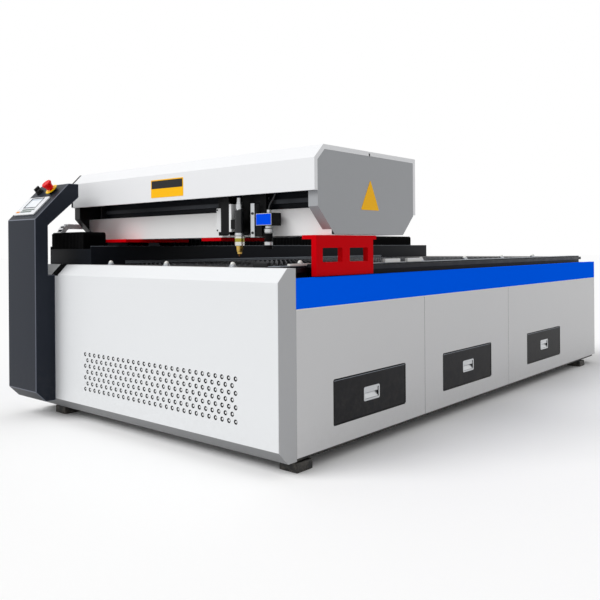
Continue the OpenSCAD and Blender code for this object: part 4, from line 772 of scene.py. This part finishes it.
def dress_skins():
    """Front cover with its lower fold in painted shade, its end plates, and side panels with dark joints."""
    # The downward faces of the lower fold take the darker grey: painted shade.
    dress(soften_folds("front_cover", 0.9), ("cover_white", FLANGE_PAINTED_SHADE),
          (1, lambda centre, normal: normal.z < -0.3 and normal.y < -0.3 and centre.z < LOWER_FOLD_TOP))
    dress(soften("front_cover_ends", 1.2), (END_GREY,))
    for side in ("left_panels", "right_panels"):
        dress(soften(side, 0.6), ("panel_grey", PLATE_BLACK),
              (1, lambda centre, normal: abs(normal.y) > 0.9 or abs(normal.z) > 0.9))


def lay_band_highlights():
    """A pale strip under each blue band: a painted highlight along the panels' upper edge."""
    half, front, rear, low, high = 0.9, -1943, 2199, 757.5, 763
    highlight_strips = [
        rounded(block("band_highlight_strip", (x - half, front, low), (x + half, rear, high)), 0.4)
        for x in (-SIDE_FACE, SIDE_FACE)
    ]
    settle(joined(highlight_strips), "base", "stop_white")


DRAWER_FACE, DRAWER_LOW, DRAWER_HIGH, DRAWER_HALF = 1118, 168, 394, 330
DRAWER_BORDER, DRAWER_EDGE = 5, 3.5
PULL_LOW, PULL_HIGH, PULL_HALF = 254.4, 307.6, 61.5
LIP_BACK, LIP_FACE, LIP_LOW = 1112, 1116.5, 285
SLOPE_BACK, SLOPE_FACE, SLOPE_TOP, SLOPE_EDGE = 1104.5, 1117, 284, 3


def dress_drawer(number, middle):
    """A drawer with a dark border and a painted highlight on its upper edge, and a pull with a lip over a
    sloping floor.
    """
    node = "drawer_%d" % number
    middle_z, half_tall = (DRAWER_LOW + DRAWER_HIGH) / 2, (DRAWER_HIGH - DRAWER_LOW) / 2
    inner = DRAWER_BORDER + DRAWER_EDGE

    def on_front(centre, normal):
        return normal.x > 0.9 and centre.x > DRAWER_FACE - 0.5

    def depth(centre):
        """How far inside the outline of the front a place lies."""
        return min(half_tall - abs(centre.z - middle_z), DRAWER_HALF - abs(centre.y - middle))

    def on_border(centre, normal):
        return on_front(centre, normal) and depth(centre) < DRAWER_BORDER - 1

    # The strip just inside the upper border takes the pale grey: a painted highlight.
    def on_upper_highlight(centre, normal):
        upper = on_front(centre, normal) and centre.z > DRAWER_HIGH - inner - 0.5
        return upper and DRAWER_BORDER - 1 < depth(centre) < inner - 0.1

    drawer = solid_copy(node)
    choose(drawer, "FACE", on_front)
    bpy.ops.mesh.inset(thickness=DRAWER_BORDER * MM)
    bpy.ops.mesh.inset(thickness=DRAWER_EDGE * MM)
    close_edit()
    in_place_of(node, drawer)
    dress(drawer, ("drawer_black", CASE_BLACK, EDGE_HIGHLIGHT), (1, on_border), (2, on_upper_highlight))
    # Faces deep inside the pull take the dark zinc: painted shade in the recess.
    dress(soften(node + "_pull", 1.2), ("pull_steel", BLACK_ZINC_AND_SHADE),
          (1, lambda centre, normal: centre.x < DRAWER_FACE - 2))
    near, far = middle - PULL_HALF, middle + PULL_HALF
    lip = rounded(block(node + "_finger_lip", (LIP_BACK, near, LIP_LOW), (LIP_FACE, far, PULL_HIGH)), 1.5, 3)
    slope = outline("slope", [
        (SLOPE_BACK, near, SLOPE_TOP), (SLOPE_BACK, near, PULL_LOW),
        (SLOPE_FACE, near, PULL_LOW), (SLOPE_FACE, near, PULL_LOW + SLOPE_EDGE),
    ], (0, far - near, 0))
    settle(joined([lip, rounded(slope, 0.6)]), nodes[node]["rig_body"], "pull_steel")


def fix_edge_strip():
    """A white strip on the front end of the right rail beam, held by two screws."""
    left, right, front, rear = 996, 1014, -1864, -1702
    top, screw_in = RIGHT_BEAM_TOP + 10, 18
    strip = rounded(block("edge_strip", (left, front, RIGHT_BEAM_TOP), (right, rear, top)), 2)
    screw = turned("strip_screws", [
        (4, 0), (4, 2), (3, 3), (1.8, 3), (1.8, 1.5), (0.4, 1.5),
    ], ((left + right) / 2, front + screw_in, top), sides=16)
    screws = copies(screw, [(0, rear - front - 2 * screw_in, 0)])
    paint(strip, "stop_white")
    paint(screws, BLACK_ZINC_AND_SHADE)
    settle(joined([strip, screws]), "base", "stop_white")


def fix_slat_edge():
    """A steel edge along the left beam, just above the slat tips, all in the beam's black."""
    left, low, front, length = -560, 956, -1690, 2930
    section = ((0, 0), (0, 20), (10, 15), (10, 12), (3, 12), (3, 0))
    edge = outline("slat_edge", [(left + x, front, low + z) for x, z in section], (0, length, 0))
    settle(rounded(edge, 0.6), "base", "beam_black", EDGE_HIGHLIGHT)


def fold_strap():
    """A black strap over the upper edge of the front cover, behind the column."""
    face, top, back, fold, tail = -2067, 955, -1950, 64, 4
    left, wide, skin = -808, 72, 1.6
    bend = skin * CORNER_GROWTH
    corners = [
        (face, top - fold - tail), (face, top - fold), (face + fold, top), (back, top), (back, top + skin),
        (face + fold - bend, top + skin), (face - skin, top - fold + bend), (face - skin, top - fold - tail),
    ]
    strap = outline("cover_strap", [(left, y, z) for y, z in corners], (wide, 0, 0))
    settle(rounded(strap, 0.4), "base", "foot_rubber", STRAP_BLACK)


dress_plain_parts()
dress_column()
dress_skins()
lay_band_highlights()
for drawer_number, drawer_middle in ((1, -1334), (2, -244), (3, 1022)):
    dress_drawer(drawer_number, drawer_middle)
fix_edge_strip()
fix_slat_edge()
fold_strap()


# Control column: operator panel, emergency stop and turn switch

CONSOLE_FOOT = Vector((0, -2200, 1238))
CONSOLE_TILT = (math.radians(45), 0, 0)
CONSOLE_UP = Vector((0, 1, 1)).normalized()
CONSOLE_OUT = Vector((0, -1, 1)).normalized()
PANEL_TOP = 9
SWITCHES_UP = 262
STOP_X, TURN_X = -873, -1031
COLLAR_FOOT = 10


def on_console(obj):
    """Lays a piece that was made flat, x across and y up the slope, on the console."""
    only(obj)
    obj.rotation_euler = CONSOLE_TILT
    obj.location = CONSOLE_FOOT * MM
    fix_place()
    return obj


def console_place(x, up):
    return CONSOLE_FOOT + Vector((x, 0, 0)) + CONSOLE_UP * up


def off_console(point):
    """Height of a point above the console's slope."""
    return (point - CONSOLE_FOOT).dot(CONSOLE_OUT)


def frame_screen():
    """A thin dark frame of four bars around the screen."""
    left, right, low, high, bar = -1025, -874, 99, 193, 6
    top = PANEL_TOP + 1.6
    bars = [
        block("screen_frame", (left, low, PANEL_TOP), (right, low + bar, top)),
        block("frame_bar", (left, high - bar, PANEL_TOP), (right, high, top)),
        block("frame_bar", (left, low + bar, PANEL_TOP), (left + bar, high - bar, top)),
        block("frame_bar", (right - bar, low + bar, PANEL_TOP), (right, high - bar, top)),
    ]
    settle(on_console(rounded(joined(bars), 0.5)), "base", "panel_plastic", FRAME_LINE)


def key(name, x, up, wide, tall):
    """One raised key: a block whose upper face is drawn in and lifted."""
    foot, rim, lift = 1.2, 1.0, 1.3
    obj = block(name, (x, up, PANEL_TOP), (x + wide, up + tall, PANEL_TOP + foot))
    choose(obj, "FACE", lambda centre, normal: normal.z > 0.9)
    bpy.ops.mesh.inset(thickness=rim * MM)
    bpy.ops.transform.translate(value=(0, 0, lift * MM))
    close_edit()
    return obj


def lay_keys():
    """Two rows of grey keys, the lower one a key shorter, and two orange keys beside them."""
    across, down, columns = 18.8, 18, 8
    shifts = [(across * i, -down * j, 0) for i in range(columns) for j in range(2)]
    rows = copies(key("panel_keys", -1010, 76, 14, 12), shifts[1:-1])
    settle(on_console(rounded(rows, 0.4)), "base", "panel_plastic", KEY_GREY)
    pair = copies(key("start_keys", -1062, 56, 16, 13), [(22, 0, 0)])
    settle(on_console(rounded(pair, 0.4)), "base", "panel_plastic", KEY_ORANGE)


def build_switches():
    """Flared stop button over a yellow collar on a black foot, and a knob with a grip bar."""
    stop_place, turn_place = console_place(STOP_X, SWITCHES_UP), console_place(TURN_X, SWITCHES_UP)
    collar = turned("stop_collar", [
        (26, 0), (28.5, 1), (28.5, 9), (29, 10.5), (39, 15), (41.5, 16.4), (42, 17.5), (42, 19),
        (41, 20.2), (33, 20.6), (26, 20), (24, 17), (13, 17),
    ], stop_place, CONSOLE_TILT, 64)
    dress(collar, ("collar_yellow", "knob_black"),
          (1, lambda centre, normal: off_console(centre) < COLLAR_FOOT))
    bezel = turned("switch_bezel", [
        (26, 0), (26, 7.5), (25, 9.4), (23.5, 10), (13, 10),
    ], turn_place, CONSOLE_TILT, 64)
    settle(bezel, "base", "collar_yellow", "knob_black")
    settle(collar, "base", "collar_yellow", stands_for=("switch_collars",))
    button = turned("stop_button", [
        (12, 7.5), (12, 26), (21.5, 26.5), (23, 28), (23, 32), (23.6, 40), (25, 47), (28, 54), (31, 58.5),
        (32.5, 61), (32.5, 66), (31.6, 69), (29.6, 71.4), (27, 72.4), (24.5, 72.4), (22.5, 71.4),
        (20.5, 69.6), (14, 68.6), (13, 69.4), (11.5, 69.4), (10.5, 68.4), (1, 68),
    ], stop_place, CONSOLE_TILT, 64)
    settle(button, "estop", "stop_red", stands_for=("estop_button",))
    knob = turned("knob_skirt", [
        (12, 1.3), (12, 10.3), (22, 10.3), (23, 11.5), (22.4, 22), (21.4, 25.6), (19, 27.3), (1, 27.3),
    ], turn_place, CONSOLE_TILT, 64)
    grip = rounded(block("knob_grip", (-7, -20, 26.5), (7, 20, 44)), 3, 3)
    line = rounded(block("knob_line", (-2, 3, 43.6), (2, 18.5, 44.3)), 0.25)
    paint(knob, "knob_black")
    paint(grip, "knob_black")
    paint(line, "pull_steel")
    for part in (grip, line):
        part.rotation_euler = CONSOLE_TILT
        part.location = turn_place * MM
    settle(joined([knob, grip, line]), "turn_switch", "knob_black", stands_for=("switch_knob",))


frame_screen()
lay_keys()
build_switches()


# Front cover: pale studs on a dark tray behind the vent holes

VENT_RIGHT, VENT_LOW = 840, 220
VENT_STEP, VENT_RISE = 47.3, 34.3
VENT_ROWS, VENT_COUNT = 7, 28
COVER_BACK, TRAY_HOLLOW = -2065, 5


def vent_row_block(first_row, rows, count, inset):
    """Studs of every second row: one stud, then a row of them, then the rows."""
    stud = turned(
        "vent_studs", [(5.6, 0), (5.6, 3.4), (5, 4.5), (3.8, 4.9), (0.8, 4.9)],
        (VENT_RIGHT - inset, COVER_BACK + TRAY_HOLLOW, VENT_LOW + first_row * VENT_RISE), FORWARD, 20,
    )
    repeated(stud, (-VENT_STEP, 0, 0), count)
    return repeated(stud, (0, 0, 2 * VENT_RISE), rows)


def fill_vents():
    long_rows = vent_row_block(0, (VENT_ROWS + 1) // 2, VENT_COUNT, 0)
    short_rows = vent_row_block(1, VENT_ROWS // 2, VENT_COUNT - 1, VENT_STEP / 2)
    settle(joined([long_rows, short_rows]), "base", "cover_white", PLATE_WHITE)
    reach, deep, wall = 24, 7, 3
    tray = block(
        "vent_tray",
        (VENT_RIGHT - (VENT_COUNT - 1) * VENT_STEP - reach, COVER_BACK, VENT_LOW - reach),
        (VENT_RIGHT + reach, COVER_BACK + deep, VENT_LOW + (VENT_ROWS - 1) * VENT_RISE + reach),
    )
    choose(tray, "FACE", lambda centre, normal: normal.y < -0.9)
    bpy.ops.mesh.inset(thickness=wall * MM)
    draw_out((0, TRAY_HOLLOW, 0))
    close_edit()
    settle(rounded(tray, 0.4), "base", "frame_paint", PLATE_BLACK)


fill_vents()


# Gantry: plain plates on the lid and the end cap, and an edge strip on the lid

LID_FACE, LID_LEFT = -1782, -1038
LID_FOLD_Z, LID_RIDGE_Y, LID_RIDGE_Z = 1490, -1712, 1560
CAP_FACE = 1103


def fix_lid_plate():
    """A yellow plate with a black field over its upper half."""
    left, right, low, high, border = -166, 129, 1354, 1460, 6
    thick, field_back, field_face = 1.5, 1.2, 2.1
    plate = block("lid_plate", (left, LID_FACE - thick, low), (right, LID_FACE, high))
    round_corners(plate, 1, 4, 3)
    field = rounded(block(
        "plate_field", (left + border, LID_FACE - field_face, (low + high) / 2),
        (right - border, LID_FACE - field_back, high - border),
    ), 0.4)
    paint(plate, PLATE_YELLOW)
    paint(field, PLATE_BLACK)
    settle(joined([plate, field]), "lid", "collar_yellow")


def fix_cap_plate():
    """A yellow three-cornered plate with rounded corners."""
    corners = [(CAP_FACE, y, z) for y, z in ((-1400, 1248), (-1233, 1248), (-1313, 1409))]
    plate = outline("cap_plate", corners, (1.4, 0, 0))
    round_corners(plate, 0, 9, 4)
    settle(rounded(plate, 0.3), "gantry", "collar_yellow", PLATE_YELLOW)


def trim_lid_end():
    """A black edge strip on the left end of the front lid: up its face and over the slope."""
    low, wide, skin, short = 1336, 16, 1.6, 3
    bend, slant = skin * CORNER_GROWTH, skin * math.sqrt(0.5)
    end_y, end_z = LID_RIDGE_Y - short, LID_RIDGE_Z - short
    corners = [
        (LID_FACE, low), (LID_FACE, LID_FOLD_Z), (end_y, end_z), (end_y - slant, end_z + slant),
        (LID_FACE - skin, LID_FOLD_Z + bend), (LID_FACE - skin, low),
    ]
    strip = outline("lid_end_trim", [(LID_LEFT, y, z) for y, z in corners], (wide, 0, 0))
    settle(rounded(strip, 0.4), "lid", "foot_rubber", STRAP_BLACK)


fix_lid_plate()
fix_cap_plate()
trim_lid_end()


# Cutting head and camera

CARRIAGE_FACE = -1672
DRIVE_LEFT, DRIVE_RIGHT = 383, 455
PLATE_FACE = CARRIAGE_FACE - 20
TUBE_X, TUBE_Y, TUBE_TOP = 526, -1724, 1257
BAR_LEFT, BAR_RIGHT, BAR_FACE = 600, 628, -1712
CAMERA_LEFT, CAMERA_RIGHT = 675, 789
CAMERA_FACE, CAMERA_LOW, CAMERA_TOP = -1748, 1167, 1233
LENS_X, LENS_Y = 732, -1714
LENS_RING_LOW, LENS_RING_HIGH, LENS_MOUNT_LOW = 1063.5, 1083, 1129
CABLE_Y = -1710


def dress_drive():
    """White mounting plate and black drive, with the plate's four screws and a stud under the drive."""
    dress(soften("head_drive", 1.5), (CASE_BLACK, PLATE_WHITE),
          (1, lambda centre, normal: centre.x < DRIVE_LEFT - 1))
    first_x, first_z, across, up = 317, 1152, 58, 114
    screw = turned("plate_screws", [
        (4.6, 0), (4.6, 2.2), (3.8, 3.0), (2.2, 3.0), (2.2, 1.2), (0.5, 1.2),
    ], (first_x, PLATE_FACE, first_z), FORWARD, 20)
    screws = copies(screw, [(across, 0, 0), (0, 0, up), (across, 0, up)])
    settle(screws, "carriage", "bright_steel", BLACK_ZINC_AND_SHADE)
    stud_x, stud_y = 423, -1700
    stud = turned("drive_stud", [
        (4, 1128), (4, 1124), (6.5, 1123), (6.5, 1116), (5, 1114.5), (0.5, 1114),
    ], (stud_x, stud_y, 0), sides=24)
    settle(stud, "carriage", "bright_steel", "pull_steel")


def dress_head():
    """Dark tube with bright fittings, a white slide strip, a ring at its foot and a nut on top."""
    dress(soften("head_body", 1.2), (TUBE_BLACK, "pull_steel", PLATE_WHITE, CASE_BLACK),
          (3, lambda centre, normal: centre.x < TUBE_X - 24),
          (2, lambda centre, normal: centre.x < DRIVE_RIGHT + 20),
          (1, lambda centre, normal: centre.z > TUBE_TOP - 1 and centre.x > TUBE_X - 26))
    rings = turned("tube_rings", [
        (24.5, 1117), (26.2, 1118), (26.2, 1127), (25.2, 1128.5), (25.2, 1132), (24.5, 1133),
    ], (TUBE_X, TUBE_Y, 0), sides=56)
    settle(rings, "head", "bright_steel", "pull_steel")
    nut = turned("tube_nut", [
        (14, 1286), (17.5, 1286.5), (18, 1288), (18, 1300), (17.5, 1301.5), (12, 1302),
    ], (TUBE_X, TUBE_Y, 0), sides=6)
    settle(nut, "head", "bright_steel", "pull_steel")


def dress_camera():
    """Black case with a blue face, on a bright bar with two bolts, and a lens with bright rings."""
    dress(soften("camera_body", 1.2), (CASE_BLACK, "pull_steel"),
          (1, lambda centre, normal: BAR_LEFT - 1 < centre.x < BAR_RIGHT + 0.5),
          (1, lambda centre, normal: centre.z > CAMERA_TOP + 1 and abs(centre.y - CABLE_Y) < 14))
    rim, plate, border, lift = 2, 3, 2.5, 1.2
    face = block("camera_face", (CAMERA_LEFT + rim, CAMERA_FACE - plate, CAMERA_LOW + rim),
                 (CAMERA_RIGHT - rim, CAMERA_FACE, CAMERA_TOP - rim))
    choose(face, "FACE", lambda centre, normal: normal.y < -0.9)
    bpy.ops.mesh.inset(thickness=border * MM)
    draw_out((0, -lift, 0))
    close_edit()
    dress(face, ("pull_steel", "camera_blue"),
          (1, lambda centre, normal: centre.y < CAMERA_FACE - plate - 0.1))
    settle(rounded(face, 0.4), "carriage", "camera_blue")
    bolt_x, bolt_z, bolt_rise = (BAR_LEFT + BAR_RIGHT) / 2, 1132, 104
    bolt = turned("bar_bolts", [
        (7, 0), (7, 4), (6, 5), (3.6, 5), (3.6, 2), (0.5, 2),
    ], (bolt_x, BAR_FACE, bolt_z), FORWARD, 24)
    settle(copies(bolt, [(0, 0, bolt_rise)]), "carriage", "bright_steel", BLACK_ZINC_AND_SHADE)
    lens = turned("camera_lens_form", [
        (13, 1051), (15, 1046), (20.5, 1045), (22.2, 1046.5), (22.2, 1062), (20.4, 1063.4), (22.4, 1065),
        (22.4, 1081), (20.4, 1083), (20.4, 1087), (22.2, 1088.4), (22.2, 1126), (20, 1128), (20, 1131),
        (22.4, 1133), (22.4, 1150), (17.5, 1154), (17.5, 1166.5),
    ], (LENS_X, LENS_Y, 0), sides=48)
    dress(lens, ("lens_black", "pull_steel"),
          (1, lambda centre, normal: LENS_RING_LOW < centre.z < LENS_RING_HIGH or centre.z > LENS_MOUNT_LOW))
    settle(lens, "carriage", "lens_black", stands_for=("camera_lens",))


def lay_cable():
    """The camera's cable: up from the camera, over to the right and back to the carriage."""
    knots = [
        ((0, 18), (0, -18), (0, 54)),
        ((48, 113), (48, 77), (48, 149)),
        ((-37, 190), (24, 190), (-60, 190)),
    ]
    cable = begun("camera_cable_line", bpy.ops.curve.primitive_bezier_curve_add)
    cable.location = (0, 0, 0)
    line = cable.data.splines[0]
    line.bezier_points.add(1)
    for point, (place, before, after) in zip(line.bezier_points, knots):
        point.handle_left_type = point.handle_right_type = "FREE"
        point.co, point.handle_left, point.handle_right = (
            Vector((LENS_X + x, CABLE_Y, CAMERA_TOP + z)) * MM for x, z in (place, before, after)
        )
    cable.data.bevel_depth = 4.5 * MM
    cable.data.bevel_resolution = 4
    cable.data.resolution_u = 16
    cable.data.materials.append(FINISH["cable_grey"])
    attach(cable, "carriage")
    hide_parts("camera_cable")


dress_drive()
dress_head()
dress_camera()
lay_cable()


# Bellows and cable chain

BELLOWS_MID, BELLOWS_HALF = -840, 187.5
BELLOWS_LOW, BELLOWS_HIGH, BELLOWS_BEVEL = 1052.3, 1160.3, 18
FOLD_DEPTH = 14
FRONT_FOLDS, REAR_FOLDS, CURTAIN_FOLDS = 24, 80, 22


def bellows_section(inset):
    """Corners of the cover across its length, from the right foot over the top to the left foot."""
    half, high, bevel = BELLOWS_HALF - inset, BELLOWS_HIGH - inset, BELLOWS_BEVEL
    right = [
        (half, BELLOWS_LOW), (half, high - bevel), (half - bevel / 3, high - bevel / 3), (half - bevel, high),
    ]
    return right + [(-x, z) for x, z in reversed(right)]


def pleats(name, y_from, y_to, count):
    """One fold drawn out from the section and repeated along the guide way."""
    obj = ring(name, [(BELLOWS_MID + x, y_from, z) for x, z in bellows_section(0)], "NOTHING")
    choose(obj, "EDGE", lambda a, b: abs(a.z - BELLOWS_LOW) < 0.1 and abs(b.z - BELLOWS_LOW) < 0.1)
    bpy.ops.mesh.delete(type="EDGE")
    bpy.ops.mesh.select_all(action="SELECT")
    step = (y_to - y_from) / count
    tall = BELLOWS_HIGH - BELLOWS_LOW
    narrow, low = (BELLOWS_HALF - FOLD_DEPTH) / BELLOWS_HALF, (tall - FOLD_DEPTH) / tall
    for turn, (wide, high) in enumerate(((narrow, low), (1 / narrow, 1 / low)), 1):
        draw_out((0, step / 2, 0))
        middle = Vector((BELLOWS_MID, y_from + turn * step / 2, BELLOWS_LOW)) * MM
        bpy.ops.transform.resize(value=(wide, 1, high), center_override=middle)
    repeated(obj, (0, step, 0), count)
    choose_all()
    bpy.ops.mesh.remove_doubles(threshold=0.0001)
    seal()
    return obj


def bellows_end(name, y, thick):
    """Flat end frame of a bellows."""
    corners = [(BELLOWS_MID + x, y, z) for x, z in bellows_section(1)]
    return rounded(outline(name, corners, (0, thick, 0)), 1)


def front_curtain(y, count):
    """Upright folds on the closed front of the bellows."""
    side_gap, fold, thick = 6, 3.5, 2
    half = BELLOWS_HALF - side_gap
    step = 2 * half / count
    edge = [(BELLOWS_MID - half + i * step / 2, y - (0 if i % 2 else fold)) for i in range(2 * count + 1)]
    edge += [(BELLOWS_MID + half, y + thick), (BELLOWS_MID - half, y + thick)]
    corners = [(x, depth, BELLOWS_LOW) for x, depth in edge]
    return outline("front_curtain", corners, (0, 0, BELLOWS_HIGH - BELLOWS_LOW - BELLOWS_BEVEL / 2))


def fold_bellows():
    front_from, front_to = -1940, -1773.3
    rear_from, rear_to = -1253.7, 1936
    frame_wall = 3
    front_end = front_from + 4
    front = joined([
        pleats("front_bellows_folds", front_end + frame_wall, front_to, FRONT_FOLDS),
        bellows_end("end", front_end, frame_wall), front_curtain(front_end, CURTAIN_FOLDS),
    ])
    paint(front, "bellows_cloth")
    blended(front, 20, ("front_bellows",))
    rear_end = rear_to - frame_wall
    rear = joined([
        pleats("rear_bellows_folds", rear_from, rear_end, REAR_FOLDS),
        bellows_end("end", rear_end, frame_wall),
    ])
    settle(rear, "base", "bellows_cloth", stands_for=("rear_bellows",))
    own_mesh(rear)


CHAIN_LEFT, CHAIN_RIGHT = -1100, -1044
LINK_TALL, LINK_WALL, LINK_PITCH, BEND_PITCH = 32, 6, 45, 25
CHAIN_BEND_Y, CHAIN_END_Y, CHAIN_TAIL_Y = -1784, -1588, -209
CHAIN_LOW, CHAIN_MID, CHAIN_RADIUS = 1072.3, 1147.3, 59
LOWER_LINKS, BEND_LINKS, UPPER_LINKS = 35, 8, 7


def chain_link(name, y, z, pitch):
    """One link, pale outside and in painted shade inside: two side plates with round ends, and two bars
    across them.
    """
    half, bar_half = LINK_TALL / 2, pitch * 0.3
    behind, ahead = pitch * 0.58, pitch * 0.42
    side = block(name, (CHAIN_LEFT, y - behind, z - half), (CHAIN_LEFT + LINK_WALL, y + ahead, z + half))
    round_corners(side, 0, min(half, pitch) * 0.4, 3)
    sides = copies(side, [(CHAIN_RIGHT - CHAIN_LEFT - LINK_WALL, 0, 0)])
    bars = []
    for bar_z in (z - 0.9 * half, z + 0.9 * half):
        low = (CHAIN_LEFT + LINK_WALL / 2, y - bar_half, bar_z - 3)
        high = (CHAIN_RIGHT - LINK_WALL / 2, y + bar_half, bar_z + 1)
        bars.append(block("bar", low, high))
    link = rounded(joined([sides] + bars), 0.8)
    middle, within = (CHAIN_LEFT + CHAIN_RIGHT) / 2, (CHAIN_RIGHT - CHAIN_LEFT) / 2 - LINK_WALL + 0.5
    # Faces between the plates that turn away from the link's outside take painted shade.
    return dress(link, ("chain_grey", CHAIN_INSIDE_SHADE), (1, lambda centre, normal: (
        abs(centre.x - middle) < within and normal.z * (centre.z - z) < 0.3)))


def bend_chain():
    """Links set round half a circle, joined into one piece."""
    links = []
    for index in range(BEND_LINKS):
        link = chain_link("chain_bend", CHAIN_BEND_Y, CHAIN_MID - CHAIN_RADIUS, BEND_PITCH)
        only(link)
        choose_all()
        bpy.ops.transform.rotate(
            value=math.radians((index + 0.5) * 180 / BEND_LINKS), orient_axis="X",
            center_override=(0, CHAIN_BEND_Y * MM, CHAIN_MID * MM),
        )
        close_edit()
        links.append(link)
    bend = joined(links)
    bend.name = "chain_bend"
    return bend


def link_chain():
    """Lower run on the tray, the bend, and the upper run that the gantry pulls."""
    lower_z, upper_z = CHAIN_LOW + LINK_TALL / 2, CHAIN_MID + CHAIN_RADIUS
    lower = chain_link("chain_lower_run", CHAIN_BEND_Y + LINK_PITCH / 2, lower_z, LINK_PITCH)
    repeated(lower, (0, LINK_PITCH, 0), LOWER_LINKS)
    settle(lower, "base", "chain_grey", stands_for=("cable_chain",))
    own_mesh(lower)
    blended(bend_chain())
    reach = CHAIN_END_Y - CHAIN_BEND_Y
    pitch = reach / UPPER_LINKS
    upper = chain_link("chain_upper_run", CHAIN_BEND_Y + pitch / 2, upper_z, pitch)
    repeated(upper, (0, pitch, 0), UPPER_LINKS)
    blended(upper)


fold_bellows()
link_chain()


# Floor, light and camera

PHOTO_PLACE = (3.26786, -4.41870, 1.04971)
PHOTO_TURN, PHOTO_ROLL = 40.6008, -0.40079
PHOTO_LENS, PHOTO_SHIFT = 42.316, -0.0869


def seen_directly(tree):
    """1 for what the camera sees, also in metal or through glass, and 0 for the light on other things."""
    rays = add(tree, "ShaderNodeLightPath").outputs
    seen = calc(tree, "MAXIMUM", rays["Is Camera Ray"], rays["Is Glossy Ray"])
    return calc(tree, "MAXIMUM", seen, rays["Is Transmission Ray"])


def lay_floor():
    floor = begun("studio_floor", bpy.ops.mesh.primitive_plane_add, size=160, location=(0, 0, -0.0005))
    material, tree, shader = bare_material("studio_floor")
    colour = mixed(tree, seen_directly(tree), (0.72, 0.72, 0.72, 1), (0.97, 0.97, 0.97, 1))
    feed(tree, shader, Base_Color=colour, Roughness=0.9, Specular_IOR_Level=0.0)
    floor.data.materials.append(material)


def light_studio():
    world = bpy.data.worlds.new("studio")
    world.use_nodes = True
    bpy.context.scene.world = world
    tree = world.node_tree
    strength = calc(tree, "MULTIPLY_ADD", seen_directly(tree), 0.38, 0.62)
    feed(tree, tree.nodes["Background"].inputs, Color=(1, 1, 1, 1), Strength=strength)
    sun = bpy.data.lights.new("softbox_sun", "SUN")
    sun.energy = 1.75
    sun.angle = math.radians(35)
    lamp = bpy.data.objects.new("softbox_sun", sun)
    bpy.context.scene.collection.objects.link(lamp)
    lamp.rotation_euler = Vector((-0.2, -0.36, 0.40)).to_track_quat("Z", "Y").to_euler()


def place_camera():
    data = bpy.data.cameras.new("photo_camera")
    data.lens = PHOTO_LENS
    data.sensor_width = 36
    data.shift_y = PHOTO_SHIFT
    data.clip_end = 300
    camera = bpy.data.objects.new("photo_camera", data)
    bpy.context.scene.collection.objects.link(camera)
    camera.location = PHOTO_PLACE
    turn = Matrix.Rotation(math.radians(PHOTO_TURN), 4, "Z") @ Matrix.Rotation(math.radians(90), 4, "X")
    camera.rotation_euler = (turn @ Matrix.Rotation(math.radians(PHOTO_ROLL), 4, "Z")).to_euler()
    bpy.context.scene.camera = camera


lay_floor()
light_studio()
place_camera()
bpy.context.scene.view_settings.view_transform = "Standard"
